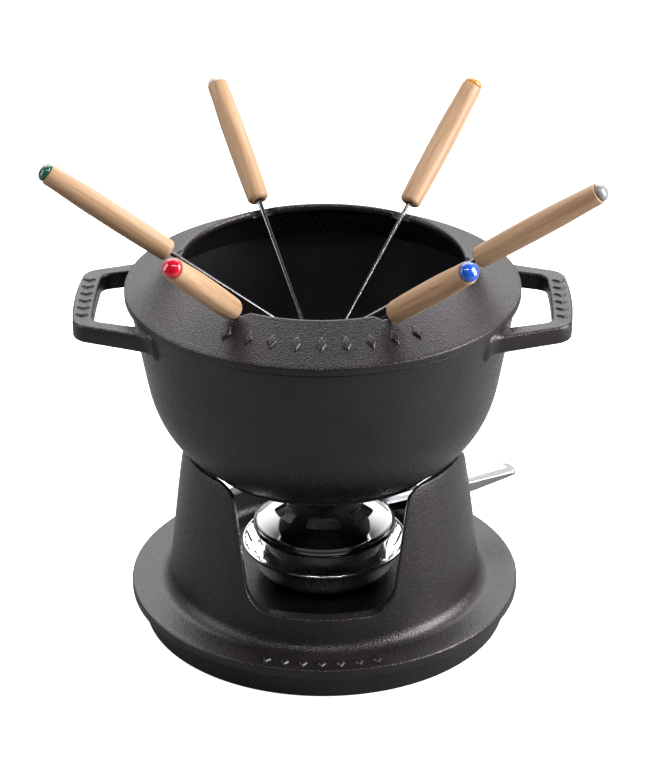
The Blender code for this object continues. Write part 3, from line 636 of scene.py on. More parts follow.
def makePot():
    s = potSizes
    bowlVerts, bowlFaces, bowlSlots = makeBowl()
    loopVerts, loopFaces = makeLoop()
    parts = [(bowlVerts, bowlFaces)]
    for turn in (0.0, math.pi):
        spin = Matrix.Rotation(s["turn"] + turn, 3, "Z")
        parts.append(([tuple(spin @ Vector(v) + Vector((0, 0, s["base"]))) for v in loopVerts], loopFaces))
    verts, faces = joinParts(parts)
    slots = bowlSlots + [0] * (len(faces) - len(bowlSlots))
    return meshObject("castPot", verts, faces, [ironFinish, enamelFinish], slots, sharpAngle=60)


pot = makePot()
finishPiece(pot, "pot", "enamelled_iron", "pot")
print("pot made:", len(pot.data.polygons), "faces")

ringSizes = {
    "turn": math.radians(-4.5), "seat": potSizes["base"] + potSizes["height"] + 0.0003, "radius": 0.1072,
    "band": 0.0045, "height": 0.0181, "crest": 0.0786, "lipInset": 0.0026, "thick": 0.0040,
    "collarDepth": 0.0070, "collarOuter": 0.0978, "collarWall": 0.0030,
    "notches": 6, "floorHalf": 0.0044, "slope": math.radians(39), "sideRise": 1.15, "notchDepth": 0.0037,
}


def ringTopHeight(radius):
    s = ringSizes
    outer = s["radius"] - 0.0008
    return s["band"] + (s["height"] - s["band"]) * (outer - radius) / (outer - s["crest"])


def makeRing():
    s = ringSizes
    band, crest = s["radius"], s["crest"]
    lip = crest - s["lipInset"]
    collarOut = s["collarOuter"]
    collarIn = collarOut - s["collarWall"]
    slopeUp = math.degrees(math.atan((s["height"] - s["band"]) / (band - 0.0008 - crest)))
    top = arcPoints((band - 0.0007, 0.0007), 0.0007, -90, 0, 4)
    top += arcPoints((band - 0.0008, s["band"] - 0.0008), 0.0008, 0, 90 - slopeUp, 5)
    top += [(r, ringTopHeight(r)) for r in np.linspace(band - 0.003, crest + 0.0036, 14)]
    top += [(r, ringTopHeight(r)) for r in np.linspace(crest + 0.0031, crest + 0.0010, 6)]
    lipRound = 0.0016
    drop = lipRound / math.cos(math.radians(slopeUp)) - 0.0001
    centre = (crest - 0.0004, ringTopHeight(crest - 0.0004) - drop)
    over = arcPoints((centre[0] - 0.0001, centre[1]), lipRound, 90 - slopeUp, 185, 10)
    lipUnder = ringTopHeight(lip + 0.003) - s["thick"]
    under = [(lip + 0.0003, centre[1] - 0.0012), (lip + 0.0012, lipUnder + 0.0002)]
    below = [(r, ringTopHeight(r) - s["thick"]) for r in np.linspace(lip + 0.003, collarIn - 0.0012, 8)]
    below += [(collarIn, ringTopHeight(collarIn) - s["thick"] - 0.0012),
              (collarIn, -s["collarDepth"] + 0.0008)]
    below += [(collarIn + 0.0008, -s["collarDepth"]), (collarOut - 0.0008, -s["collarDepth"])]
    below += [(collarOut, -s["collarDepth"] + 0.0008), (collarOut + 0.0002, -0.0006),
              (collarOut + 0.0006, 0.0)]
    profile = top + over + under + below
    cutRows = len(top) + len(over)
    # closer columns at the notches
    step = math.pi / s["notches"]
    near = np.radians(np.linspace(0, 9, 25))
    far = np.linspace(near[-1], step, 13)[1:]
    half = np.concatenate([near, far])
    sector = np.concatenate([-half[:0:-1], half[:-1]])
    azimuth = np.concatenate([sector + s["turn"] + 2 * step * k for k in range(s["notches"])])
    local = np.tile(sector, s["notches"])
    rows = []
    for index, (r, z) in enumerate(profile):
        radius = np.full(len(azimuth), r)
        height = np.full(len(azimuth), z)
        if index < cutRows + 1 and r < crest + 0.012:
            away = np.abs(radius * np.sin(local))
            inside = 1 - smooth01(away, s["floorHalf"] + 0.001, s["floorHalf"] + 0.0042)
            if r < crest - 0.0010:  # the thin lip stands back where the notch breaks through
                radius = radius + inside * (crest - 0.0010 - r) * 0.9
            out = radius * np.cos(local)
            groove = (s["height"] - s["notchDepth"] + (out - crest + 0.0011) * math.tan(s["slope"])
                      + np.maximum(away - s["floorHalf"], 0) * s["sideRise"])
            cut = softMin(height, groove, 0.0010)
            height = np.maximum(cut, np.minimum(height, lipUnder + 0.0006))
        rows.append(np.stack([radius * np.cos(azimuth), radius * np.sin(azimuth), height + s["seat"]], 1))
    verts, faces = gridMesh(rows, closeRows=True)
    return meshObject("notchedRing", verts, faces, [ironFinish], sharpAngle=75)


ring = makeRing()
finishPiece(ring, "ring", "enamelled_iron", "fork_ring")
print("fork ring made:", len(ring.data.polygons), "faces")

burnerSizes = {
    "saucerBase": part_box("burner_saucer")[0][2], "saucerFoot": 0.0290, "saucerRim": 0.0462,
    "saucerHeight": 0.0225, "sheet": 0.0012,
    "cupBase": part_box("fuel_cup")[0][2], "cup": 0.0335, "cupFoot": 0.0255, "cupHeight": 0.0285,
    "domeBase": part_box("regulator_cap")[0][2], "dome": 0.0385, "skirt": 0.0042, "rise": 0.0172,
    "domeSheet": 0.0010, "mouth": 0.0140, "vents": 6, "ventIn": 0.0212, "ventOut": 0.0282,
    "ventHalf": math.radians(20.5), "turn": math.radians(-91.8),
}


def turnedPiece(name, profile, finish, base, columns=144, sharpAngle=50):
    rows, startPole, endPole = turned(profile, evenAzimuths(columns), base)
    verts, faces = gridMesh(rows, startPole, endPole, closeRows=startPole is None and endPole is None)
    return meshObject(name, verts, faces, [finish], sharpAngle=sharpAngle)


def makeSaucer():
    s = burnerSizes
    foot, rim, h, w = s["saucerFoot"], s["saucerRim"], s["saucerHeight"], s["sheet"]
    outside = [(0.0, 0.0), (foot - 0.0016, 0.0)] + arcPoints((foot - 0.0010, 0.0008), 0.0008, -80, -20, 4)
    outside += [(foot + 0.003, 0.0024), (foot + 0.0075, 0.0050), (foot + 0.0100, 0.0078),
                (rim - 0.0062, 0.0118), (rim - 0.0045, 0.0146), (rim - 0.0030, 0.0178),
                (rim - 0.0016, h - 0.0024)]
    outside = outside[:2] + easedSide(outside[2:], 1)
    lip = arcPoints((rim - 0.0010, h - 0.0011), 0.0010, -60, 150, 12)
    inside = [(rim - 0.0024, h - 0.0024), (rim - 0.0044, 0.0178), (rim - 0.0060, 0.0146),
              (rim - 0.0076, 0.0126), (foot + 0.0088, 0.0088), (foot + 0.0060, 0.0062),
              (foot + 0.002, 0.0036), (foot - 0.0012, w),
              (foot - 0.004, w), (0.0, w)]
    return turnedPiece("chromeSaucer", outside + lip + inside, brightChrome, s["saucerBase"])


def makeCup():
    s = burnerSizes
    foot, r, h, w = s["cupFoot"], s["cup"], s["cupHeight"], 0.0010
    profile = [(0.0, 0.0), (foot - 0.002, 0.0), (foot, 0.0004), (r - 0.003, 0.0090), (r - 0.0008, 0.0112),
               (r, 0.0132), (r, 0.0180), (r + 0.0003, 0.0190), (r + 0.0003, 0.0204), (r, 0.0214),
               (r, h - 0.0016),
               (r + 0.0008, h - 0.0013)] + arcPoints((r + 0.0013, h - 0.0009), 0.0005, -90, 90, 6)
    profile += [(r + 0.0004, h - 0.0004), (r - w, h - 0.0006), (r - w, 0.0136), (r - w - 0.001, 0.0118),
                (foot - 0.0006, w + 0.0002), (foot - 0.003, w), (0.0, w)]
    return turnedPiece("fuelCup", profile, cupSteel, s["cupBase"])


def domeTop(radius, inset):
    s = burnerSizes
    slope = np.arctan(2 * s["rise"] * radius / s["dome"] ** 2)
    return s["skirt"] + s["rise"] * (1 - (radius / s["dome"]) ** 2) - inset / np.cos(slope)


def makeDome(name, inset, skirtLow, finish):
    s = burnerSizes
    half = s["ventHalf"]
    cell = 2 * math.pi / s["vents"]
    inVent = half * np.array([0, 0.2, 0.4, 0.6, 0.8, 0.92, 1.0])
    outVent = half + (cell / 2 - half) * np.array([0.25, 0.5, 0.75, 1.0])
    halfCell = np.concatenate([inVent, outVent])
    sector = np.concatenate([-halfCell[:0:-1], halfCell[:-1]])
    azimuth = np.concatenate([sector + s["turn"] + cell * k for k in range(s["vents"])])
    local = np.tile(sector, s["vents"])
    count = len(azimuth)
    bend = 0.0016  # rounding between the skirt and the dome
    radii = [("skirt", z) for z in np.linspace(skirtLow, s["skirt"] - bend * 0.7, 4)]
    radii += [("bend", k / 4) for k in range(1, 4)]
    domeRadii = list(np.linspace(s["dome"] - bend * 0.8, s["ventOut"], 6)) + [s["ventOut"] - 0.0008]
    domeRadii += list(np.linspace(s["ventOut"] - 0.0022, s["ventIn"] + 0.0022, 4))
    domeRadii += [s["ventIn"] + 0.0008, s["ventIn"]]
    domeRadii += list(np.linspace(s["ventIn"] - 0.001, s["mouth"] + 0.0012, 5))
    radii += [("dome", r) for r in domeRadii]
    skins = []
    for depth in (inset, inset + s["domeSheet"]):
        rows = []
        edge = s["dome"] - depth
        for kind, value in radii:
            if kind == "skirt":
                r, z = np.full(count, edge), np.full(count, value)
            elif kind == "bend":
                startR, startZ = edge, s["skirt"] - bend * 0.7
                endR = s["dome"] - bend * 0.8
                endZ = domeTop(endR, depth)
                cornerR, cornerZ = edge, s["skirt"] + 0.0004 - depth * 0.4
                t = value
                shares = ((1 - t) ** 2, 2 * t * (1 - t), t * t)
                bendR = (startR, cornerR, min(endR, edge - 0.0002))
                r = np.full(count, sum(a * b for a, b in zip(shares, bendR)))
                z = np.full(count, sum(a * b for a, b in zip(shares, (startZ, cornerZ, endZ))))
            else:
                r = np.full(count, value)
                corner = (np.abs(np.abs(local) - half) < 1e-6).astype(float)
                if abs(value - s["ventOut"]) < 1e-9:
                    r = r - corner * 0.0009
                if abs(value - s["ventIn"]) < 1e-9:
                    r = r + corner * 0.0009
                r = np.minimum(r, edge - 0.0003)
                z = domeTop(r, depth)
            rows.append(np.stack([r * np.cos(azimuth), r * np.sin(azimuth), z + s["domeBase"]], 1))
        # the mouth turns down a little
        r = s["mouth"] + 0.0002 + depth * 0.3
        low = float(domeTop(np.array(r), depth)) - 0.0006 + s["domeBase"]
        rows.append(np.stack([r * np.cos(azimuth), r * np.sin(azimuth), np.full(count, low)], 1))
        skins.append(np.concatenate(rows))
    rowRadii = [v if k == "dome" else 1.0 for k, v in radii] + [0.0]
    faces = []
    for j in range(len(rowRadii) - 1):
        for i in range(count):
            k = (i + 1) % count
            inRow = (rowRadii[j] <= s["ventOut"] + 1e-9 and rowRadii[j + 1] >= s["ventIn"] - 1e-9)
            inCell = abs(local[i]) <= half + 1e-9 and abs(local[k]) <= half + 1e-9 and local[k] > local[i]
            if inRow and inCell:
                continue
            faces.append((j * count + i, j * count + k, (j + 1) * count + k, (j + 1) * count + i))
    verts, allFaces = shellBetween(skins[0], skins[1], faces)
    return meshObject(name, verts, allFaces, [finish], sharpAngle=45)


def makeLever():
    s = {"reach": 0.1255, "root": 0.0072, "tip": 0.0132, "sheet": 0.0009, "flange": 0.0058,
         "taperFrom": 0.096, "tipDepth": 0.0018, "edge": 0.0008, "turn": math.radians(29.2)}
    topZ = burnerSizes["domeBase"] + burnerSizes["skirt"]
    bandIn = burnerSizes["dome"] + 0.0003
    start = bandIn + 0.0004
    stations = list(np.linspace(start, 0.095, 12)) + list(np.linspace(0.0965, 0.121, 10))
    stations += [0.1222, 0.1233, 0.1242, 0.1249, 0.1253, s["reach"]]
    skins = []
    for depth in (0.0, s["sheet"]):
        rows = []
        for x in stations:
            share = (x - start) / (s["reach"] - start)
            half = (s["root"] + (s["tip"] - s["root"]) * share) / 2
            past = max(0.0, x - 0.1215)  # the tip's corners are rounded by 4 mm
            half -= 0.004 - math.sqrt(max(0.004 ** 2 - past ** 2, 0.0)) if past < 0.004 else 0.004
            fall = s["flange"] if x < s["taperFrom"] else s["flange"] + (s["tipDepth"] - s["flange"]) * (
                (x - s["taperFrom"]) / (s["reach"] - s["taperFrom"]))
            fall *= float(smooth01(x, start - 0.002, start + 0.007)) * 0.55 + 0.45
            e = s["edge"]
            out = half - depth
            z = topZ - depth
            lowZ = topZ - max(fall, e + 0.0008)
            x1 = x - (depth if x > s["reach"] - 0.001 else 0.0)
            section = [(-out, lowZ), (-out, (lowZ + z - e) / 2)]
            section += [(-out + e * (1 - math.cos(a)), z - e + e * math.sin(a))
                        for a in np.radians([0, 30, 60, 90])]
            dip = 0.00045 * float(smooth01(x, 0.052, 0.058)) * float(1 - smooth01(x, 0.119, 0.1215))
            section += [(-out + e + 0.0007, z), (-out + e + 0.0013, z - dip), (0.0, z - dip),
                        (out - e - 0.0013, z - dip), (out - e - 0.0007, z)]
            section += [(out - e * (1 - math.cos(a)), z - e + e * math.sin(a))
                        for a in np.radians([90, 60, 30, 0])]
            section += [(out, (lowZ + z - e) / 2), (out, lowZ)]
            rows.append(np.array([(x1, y, zz) for y, zz in section]))
        last = rows[-1].copy()
        last[:, 2] = np.minimum(last[:, 2], topZ - s["tipDepth"])
        rows.append(last)
        skins.append(np.concatenate(rows))
    count = 17
    faces = []
    for j in range(len(stations)):
        for i in range(count - 1):
            faces.append((j * count + i, j * count + i + 1, (j + 1) * count + i + 1, (j + 1) * count + i))
    verts, allFaces = shellBetween(skins[0], skins[1], faces)
    spin = Matrix.Rotation(s["turn"], 3, "Z")
    verts = [tuple(spin @ Vector(v)) for v in verts]
    low = burnerSizes["domeBase"] + 0.0004
    bandOut = bandIn + 0.0010
    profile = [(bandIn, low + 0.0002), (bandIn + 0.0003, low), (bandOut - 0.0003, low),
               (bandOut, low + 0.0004), (bandOut + 0.0002, (low + topZ) / 2), (bandOut, topZ - 0.0008),
               (bandOut - 0.0003, topZ - 0.0004), (bandIn, topZ - 0.0005)]
    rows, _, _ = turned(profile, evenAzimuths(128))
    bandVerts, bandFaces = gridMesh(rows, closeRows=True)
    verts, faces = joinParts([(verts, allFaces), (bandVerts, bandFaces)])
    return meshObject("regulatorLever", verts, faces, [leverSteel], sharpAngle=50)


saucer = makeSaucer()
finishPiece(saucer, "burner", "bright_chrome", "burner_saucer")
cup = makeCup()
finishPiece(cup, "burner", "plain_steel", "fuel_cup")
innerDome = makeDome("innerVentDome", 0.0013, 0.0006, cupSteel)
finishPiece(innerDome, "burner", "plain_steel", "inner_vent_dome")
cap = makeDome("regulatorCap", 0.0, 0.0, brightChrome)
finishPiece(cap, "regulator", "bright_chrome", "regulator_cap")
lever = makeLever()
finishPiece(lever, "regulator", "bright_chrome", "regulator_lever")

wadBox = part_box("fuel_wadding")
wadR, wadLow, wadTop = wadBox[1][0], wadBox[0][2], wadBox[1][2]
wadding = turnedPiece("woolWadding", [
    (0.0, wadLow), (0.0255, wadLow), (wadR - 0.0014, wadLow + 0.0056), (wadR, wadLow + 0.0072),
    (wadR, wadTop - 0.0008), (wadR - 0.0008, wadTop), (0.0, wadTop)], woolFinish(), 0.0, 72)
finishPiece(wadding, "burner", "wadding", "fuel_wadding")
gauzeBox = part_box("wadding_gauze")
gauze = turnedPiece("wovenGauze", [
    (0.0, gauzeBox[0][2]), (wadR - 0.0002, gauzeBox[0][2]), (wadR, gauzeBox[0][2] + 0.0004),
    (wadR - 0.0002, gauzeBox[1][2]), (0.0, gauzeBox[1][2])], gauzeFinish(), 0.0, 72)
finishPiece(gauze, "burner", "plain_steel", "wadding_gauze")
print("burner made")

forkSizes = {"handleRadius": 0.0065, "baseRadius": 0.0060, "endRadius": 0.0058, "shaft": 0.00135,
             "headLength": 0.034, "headWidth": 0.0060, "headThick": 0.0018, "prong": 0.0018}
forkColours = ["grey", "orange", "white", "green", "red", "blue"]


def nodePoints(name):
    mesh = frame["nodes"][name].data
    co = np.empty(len(mesh.vertices) * 3)
    mesh.vertices.foreach_get("co", co)
    return np.unique(np.round(co.reshape(-1, 3), 7), axis=0)


def forkFrame(number):  # a point on the fork's axis, and its axes: outward, sideways, up
    joint = next(j for j in frame["joints"] if j["name"] == f"fork_{number}_slide")
    out = Vector(joint["axis"]).normalized()
    side = Vector((0, 0, 1)).cross(out).normalized()
    up = out.cross(side)
    middle = Vector(nodePoints(f"fork_cap_{number}").mean(axis=0))
    return middle, out, side, up


def spanAlong(name, origin, direction):
    values = (nodePoints(name) - np.array(origin)) @ np.array(direction)
    return float(values.min()), float(values.max())


def alongFork(profile, axes, columns):  # a turned shape whose axis is the fork's
    origin, out, side, up = (np.array(a) for a in axes)
    azimuths = evenAzimuths(columns)
    rows, startPole, endPole = [], None, None
    for index, (r, x) in enumerate(profile):
        centre = origin + out * x
        if r < 1e-7:
            if index == 0:
                startPole = tuple(centre)
            else:
                endPole = tuple(centre)
        else:
            rows.append(centre + r * (np.cos(azimuths)[:, None] * side + np.sin(azimuths)[:, None] * up))
    return rows, startPole, endPole


def makeHandle(number, axes):
    s = forkSizes
    start, end = spanAlong(f"fork_handle_{number}", axes[0], axes[1])
    length = end - start
    bore = s["shaft"] + 0.0003
    profile = [(0.0, start + 0.0240), (bore, start + 0.0240), (bore, start + 0.0012),
               (bore + 0.0009, start + 0.0004), (bore + 0.0012, start + 0.0001)]
    profile += arcPoints((s["baseRadius"] - 0.0026, start + 0.0026), 0.0026, -90, -5, 7)
    for k in range(1, 17):
        t = k / 17
        swell = math.sin(math.pi * min(t * 1.08, 1.0)) ** 0.8 if t < 0.46 else 1.0
        ease = float(smooth01(t, 0.62, 1.0))
        r = s["baseRadius"] + (s["handleRadius"] - s["baseRadius"]) * min(swell, 1.0)
        r += (s["endRadius"] - s["handleRadius"]) * ease
        profile.append((r, start + 0.0026 + (length - 0.0040) * t))
    profile += arcPoints((s["endRadius"] - 0.0007, end - 0.0007), 0.0007, 0, 90, 5)
    profile += [(0.0044, end), (0.0, end)]
    rows, startPole, endPole = alongFork(profile, axes, 48)
    verts, faces = gridMesh(rows, startPole, endPole)
    piece = meshObject(f"forkHandle{number}", verts, faces, [beechFinish], sharpAngle=50)
    place = piece.data.attributes.new("grainPlace", "FLOAT_VECTOR", "POINT")
    origin, out, side, up = axes
    offset = Vector((0.37 * number, 0.11 * number, 0.053 * number))
    values = []
    for vertex in piece.data.vertices:
        d = vertex.co - origin
        values += [d.dot(out) + offset.x, d.dot(side) + offset.y, d.dot(up) + offset.z]
    place.data.foreach_set("vector", values)
    return piece


def makeCap(number, axes, finish):
    start, end = spanAlong(f"fork_cap_{number}", axes[0], axes[1])
    radius = 0.0051
    straight = (end - start) * 0.22
    profile = [(0.0, start), (radius - 0.0004, start), (radius, start + 0.0004), (radius, start + straight)]
    profile += [(radius * math.cos(a), start + straight + (end - start - straight) * math.sin(a))
                for a in np.radians(np.linspace(8, 82, 10))]
    profile += [(0.0, end)]
    rows, startPole, endPole = alongFork(profile, axes, 40)
    verts, faces = gridMesh(rows, startPole, endPole)
    return meshObject(f"forkCap{number}", verts, faces, [finish], sharpAngle=50)


def makeShaft(number, axes):
    s = forkSizes
    start, end = spanAlong(f"fork_shaft_{number}", axes[0], axes[1])
    origin, out, side, up = (np.array(a) for a in axes)
    half, thick = s["headWidth"] / 2, s["headThick"] / 2
    neck = start + s["headLength"]
    # rod that flattens into the head: each row is an oval of its own width and thickness
    stations = [(end, s["shaft"], s["shaft"]), (end - 0.0002, s["shaft"], s["shaft"])]
    stations += [(x, s["shaft"], s["shaft"]) for x in np.linspace(end - 0.03, neck + 0.001, 9)]
    stations += [(neck - 0.001, s["shaft"] * 1.05, s["shaft"]),
                 (neck - 0.003, half * 0.72, s["shaft"] * 0.9), (neck - 0.005, half * 0.95, thick),
                 (neck - 0.007, half, thick * 0.95),
                 (neck - 0.0105, half, thick * 0.9)]
    angles = evenAzimuths(24)
    rows = []
    for x, w, t in stations:
        power = 1.0 if w < s["shaft"] * 1.1 else 0.6
        c, sn = np.cos(angles), np.sin(angles)
        c2 = np.sign(c) * np.abs(c) ** power
        s2 = np.sign(sn) * np.abs(sn) ** power
        rows.append(origin + out * x + (w * c2)[:, None] * side + (t * s2)[:, None] * up)
    first, last = tuple(origin + out * end), tuple(origin + out * stations[-1][0])
    parts = [gridMesh(rows, first, last)]
    for sign in (1, -1):  # the two prongs
        prongRows = []
        middle = sign * (half - s["prong"] / 2)
        for x, w, t in [(neck - 0.0085, 1.0, 0.9), (neck - 0.0100, 1.0, 0.9), (start + 0.006, 0.95, 0.85),
                        (start + 0.0035, 0.85, 0.7), (start + 0.0012, 0.5, 0.4),
                        (start + 0.0002, 0.12, 0.12)]:
            wide, high = s["prong"] / 2 * w, thick * t
            centre = origin + out * x + side * middle
            c, sn = np.cos(angles[::2]), np.sin(angles[::2])
            prongRows.append(centre + (wide * np.sign(c) * np.abs(c) ** 0.6)[:, None] * side
                             + (high * np.sign(sn) * np.abs(sn) ** 0.6)[:, None] * up)
        tip = tuple(origin + out * start + side * middle)
        back = tuple(origin + out * (neck - 0.0085) + side * middle)
        parts.append(gridMesh(prongRows, back, tip))
    verts, faces = joinParts(parts)
    return meshObject(f"forkShaft{number}", verts, faces, [shaftSteel], sharpAngle=50)


for number, colourName in enumerate(forkColours, 1):
    axes = forkFrame(number)
    body = f"fork_{number}"
    finishPiece(makeShaft(number, axes), body, "fork_steel", f"fork_shaft_{number}")
    finishPiece(makeHandle(number, axes), body, "pale_wood", f"fork_handle_{number}")
    capPiece = makeCap(number, axes, capFinish(colourName, capColours[colourName]))
    finishPiece(capPiece, body, f"cap_{colourName}", f"fork_cap_{number}")
print("forks made")


def lozengeRow(name, count, radius, height, middle, sweep, length, width, rise, tilt, straight=False):
    tree = bpy.data.node_groups.new(name + "Row", "GeometryNodeTree")
    iface = tree.interface
    iface.new_socket("Geometry", in_out="OUTPUT", socket_type="NodeSocketGeometry")
    sizes = {"Count": ("NodeSocketInt", count), "Row Radius": ("NodeSocketFloat", radius),
             "Row Height": ("NodeSocketFloat", height), "Middle Angle": ("NodeSocketFloat", middle),
             "Sweep": ("NodeSocketFloat", sweep), "Length": ("NodeSocketFloat", length),
             "Width": ("NodeSocketFloat", width), "Rise": ("NodeSocketFloat", rise),
             "Tilt": ("NodeSocketFloat", tilt)}
    sockets = {key: iface.new_socket(key, in_out="INPUT", socket_type=kind)
               for key, (kind, _) in sizes.items()}
    nodes, links = tree.nodes, tree.links
    given = nodes.new("NodeGroupInput")
    result = nodes.new("NodeGroupOutput")

    def value(operation, a, b=None):
        node = nodes.new("ShaderNodeMath")
        node.operation = operation
        for socket, item in zip(node.inputs, (a, b)):
            if item is None:
                continue
            if isinstance(item, (int, float)):
                socket.default_value = item
            else:
                links.new(item, socket)
        return node.outputs[0]

    line = nodes.new("GeometryNodeMeshLine")
    links.new(given.outputs["Count"], line.inputs["Count"])
    index = nodes.new("GeometryNodeInputIndex").outputs[0]
    share = value("SUBTRACT", value("DIVIDE", index, value("SUBTRACT", given.outputs["Count"], 1.0)), 0.5)
    x, z = given.outputs["Row Radius"], given.outputs["Row Height"]
    if straight:
        place = value("MULTIPLY", share, given.outputs["Sweep"])
        c, sn = value("COSINE", given.outputs["Middle Angle"]), value("SINE", given.outputs["Middle Angle"])
        px = value("SUBTRACT", value("MULTIPLY", x, c), value("MULTIPLY", place, sn))
        py = value("ADD", value("MULTIPLY", x, sn), value("MULTIPLY", place, c))
        angle = given.outputs["Middle Angle"]
    else:
        along = value("MULTIPLY", share, given.outputs["Sweep"])
        angle = value("ADD", given.outputs["Middle Angle"], along)
        px = value("MULTIPLY", x, value("COSINE", angle))
        py = value("MULTIPLY", x, value("SINE", angle))
    position = nodes.new("ShaderNodeCombineXYZ")
    for socket, item in zip(position.inputs, (px, py, z)):
        links.new(item, socket)
    setPlace = nodes.new("GeometryNodeSetPosition")
    links.new(line.outputs[0], setPlace.inputs["Geometry"])
    links.new(position.outputs[0], setPlace.inputs["Position"])
    cone = nodes.new("GeometryNodeMeshCone")
    cone.inputs["Vertices"].default_value = 4
    cone.inputs["Radius Top"].default_value = 0.62
    cone.inputs["Radius Bottom"].default_value = 1.0
    cone.inputs["Depth"].default_value = 1.0
    smooth = nodes.new("GeometryNodeSubdivisionSurface")
    smooth.inputs["Level"].default_value = 3
    smooth.inputs["Edge Crease"].default_value = 0.45
    links.new(cone.outputs["Mesh"], smooth.inputs["Mesh"])
    shaded = nodes.new("GeometryNodeSetShadeSmooth")
    links.new(smooth.outputs[0], shaded.inputs["Geometry"])
    turnNode = nodes.new("ShaderNodeCombineXYZ")
    links.new(given.outputs["Tilt"], turnNode.inputs[1])
    links.new(angle, turnNode.inputs[2])
    scaleNode = nodes.new("ShaderNodeCombineXYZ")
    links.new(given.outputs["Length"], scaleNode.inputs[0])
    links.new(given.outputs["Width"], scaleNode.inputs[1])
    links.new(given.outputs["Rise"], scaleNode.inputs[2])
    instances = nodes.new("GeometryNodeInstanceOnPoints")
    links.new(setPlace.outputs[0], instances.inputs["Points"])
    links.new(shaded.outputs[0], instances.inputs["Instance"])
    links.new(turnNode.outputs[0], instances.inputs["Rotation"])
    links.new(scaleNode.outputs[0], instances.inputs["Scale"])
    realize = nodes.new("GeometryNodeRealizeInstances")
    links.new(instances.outputs[0], realize.inputs[0])
    setFinish = nodes.new("GeometryNodeSetMaterial")
    setFinish.inputs["Material"].default_value = ironFinish
    links.new(realize.outputs[0], setFinish.inputs["Geometry"])
    links.new(setFinish.outputs[0], result.inputs[0])

    holder = bpy.data.objects.new(name, bpy.data.meshes.new(name))
    bpy.context.scene.collection.objects.link(holder)
    modifier = holder.modifiers.new("row", "NODES")
    modifier.node_group = tree
    for key, (_, amount) in sizes.items():
        modifier[sockets[key].identifier] = amount
    bpy.context.view_layer.update()
    made = bpy.data.meshes.new_from_object(holder.evaluated_get(bpy.context.evaluated_depsgraph_get()))
    holder.modifiers.remove(modifier)
    holder.data = made
    return holder


ringSlope = ringSizes["radius"] - 0.0008 - ringSizes["crest"]
ringTilt = math.atan((ringSizes["height"] - ringSizes["band"]) / ringSlope)
ornament = {
    "ring": dict(count=9, radius=0.0925, height=ringSizes["seat"] + ringTopHeight(0.0925),
                 middle=math.radians(-90.5), sweep=math.radians(64),
                 length=0.0058, width=0.0032, rise=0.0012, tilt=ringTilt),
    "disc": dict(count=7, radius=0.1015, height=standSizes["discTop"], middle=math.radians(-91),
                 sweep=math.radians(34), length=0.0043, width=0.0030, rise=0.0011, tilt=0.0),
}
ringRow = lozengeRow("ringLozenges", **ornament["ring"])
finishPiece(ringRow, "ring", "enamelled_iron")
discRow = lozengeRow("discLozenges", **ornament["disc"])
finishPiece(discRow, "stand", "enamelled_iron")
barRadius = potSizes["rim"] + potSizes["reach"] - potSizes["bar"] / 2 - 0.0002
barTop = potSizes["base"] + potSizes["height"] - potSizes["topBelowRim"]
for side, turn in (("Right", 0.0), ("Left", math.pi)):
    row = lozengeRow("handleLozenges" + side, 6, barRadius, barTop, potSizes["turn"] + turn,
                     sweep=0.046, length=0.0044, width=0.0030, rise=0.0010, tilt=0.0, straight=True)
    finishPiece(row, "pot", "enamelled_iron")
print("ornament made")

floorMesh = bpy.data.meshes.new("studioFloor")
floorHalf, floorZ = 6, -0.0002
floorCorners = [(x * floorHalf, y * floorHalf, floorZ) for x, y in ((-1, -1), (1, -1), (1, 1), (-1, 1))]
floorMesh.from_pydata(floorCorners, [], [(0, 1, 2, 3)])
floor = bpy.data.objects.new("studioFloor", floorMesh)
bpy.context.scene.collection.objects.link(floor)
floorNodes = NodeTree("paleFloor")  # white to look at, and quiet in the iron's reflections
seen = floorNodes.add("ShaderNodeLightPath").outputs["Is Camera Ray"]
floorTone = floorNodes.ramp(seen, [(0.0, (0.26, 0.26, 0.26)), (1.0, (0.85, 0.85, 0.85))])
floorMesh.materials.append(floorNodes.put(
    Base_Color=floorTone, Roughness=0.9, Specular_IOR_Level=0.1, Emission_Color=(1, 1, 1, 1),
    Emission_Strength=floorNodes.between(seen, 0.0, 0.9)))

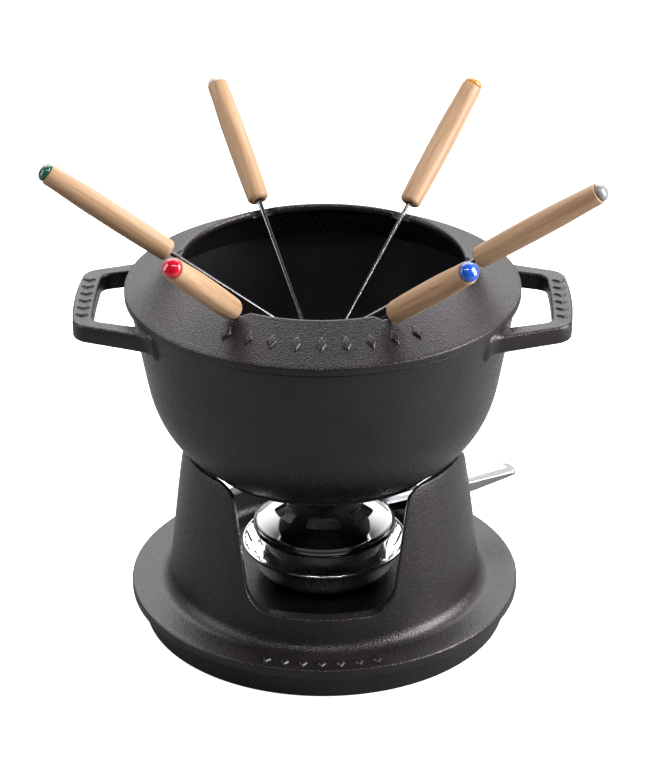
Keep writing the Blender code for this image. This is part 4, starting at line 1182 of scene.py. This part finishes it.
lightSet = {
    # name: (place, aim, size x, size y, watts)
    "overBack": ((0.0, 1.25, 1.55), (0, 0, 0.15), 2.4, 1.3, 30.0),
    "edgeStrip": ((0.0, -0.85, 1.55), (0, 0, 0.1), 1.3, 0.06, 8.0),
    "leftSoft": ((-1.5, -0.1, 0.75), (0, 0, 0.12), 0.7, 1.3, 12.0),
    "rightSoft": ((1.5, -0.25, 0.75), (0, 0, 0.12), 0.9, 1.4, 66.0),
}
for name, (place, aim, wide, high, power) in lightSet.items():
    data = bpy.data.lights.new(name, "AREA")
    data.shape = "RECTANGLE"
    data.size, data.size_y, data.energy = wide, high, power
    lamp = bpy.data.objects.new(name, data)
    lamp.location = place
    lamp.rotation_euler = (Vector(aim) - Vector(place)).to_track_quat("-Z", "Y").to_euler()
    bpy.context.scene.collection.objects.link(lamp)

world = bpy.data.worlds.new("softStudio")
bpy.context.scene.world = world
world.use_nodes = True
nodes, links = world.node_tree.nodes, world.node_tree.links
background = nodes["Background"]
coord = nodes.new("ShaderNodeTexCoord")
toward = nodes.new("ShaderNodeVectorMath")
toward.operation = "DOT_PRODUCT"
toward.inputs[1].default_value = (0.0, 0.90, 0.436)  # the lit wall stands behind and above
links.new(coord.outputs["Generated"], toward.inputs[0])
rangeNode = nodes.new("ShaderNodeMapRange")
rangeNode.interpolation_type = "SMOOTHSTEP"
rangeNode.inputs["From Min"].default_value = 0.45
rangeNode.inputs["From Max"].default_value = 1.0
rangeNode.inputs["To Min"].default_value = 0.07
rangeNode.inputs["To Max"].default_value = 1.7
links.new(toward.outputs["Value"], rangeNode.inputs["Value"])
links.new(rangeNode.outputs["Result"], background.inputs["Strength"])
background.inputs["Color"].default_value = (1.0, 0.99, 0.985, 1)

cameraSizes = {"place": (-0.0005, -1.4, 0.825), "pitch": math.radians(26.20),
               "roll": math.radians(-0.38), "lens": 132.05}
cameraData = bpy.data.cameras.new("camera")
camera = bpy.data.objects.new("camera", cameraData)
bpy.context.scene.collection.objects.link(camera)
cameraData.sensor_width = 36.0
cameraData.lens = cameraSizes["lens"]
cameraData.clip_start, cameraData.clip_end = 0.05, 30.0
pitch, roll = cameraSizes["pitch"], cameraSizes["roll"]
forward = Vector((0, math.cos(pitch), -math.sin(pitch)))
level, above = Vector((1, 0, 0)), Vector((0, math.sin(pitch), math.cos(pitch)))
right = math.cos(roll) * level + math.sin(roll) * above
upward = -math.sin(roll) * level + math.cos(roll) * above
facing = Matrix((right, upward, -forward)).transposed().to_4x4()
camera.matrix_world = Matrix.Translation(cameraSizes["place"]) @ facing
bpy.context.scene.camera = camera
bpy.context.scene.view_settings.view_transform = "Standard"
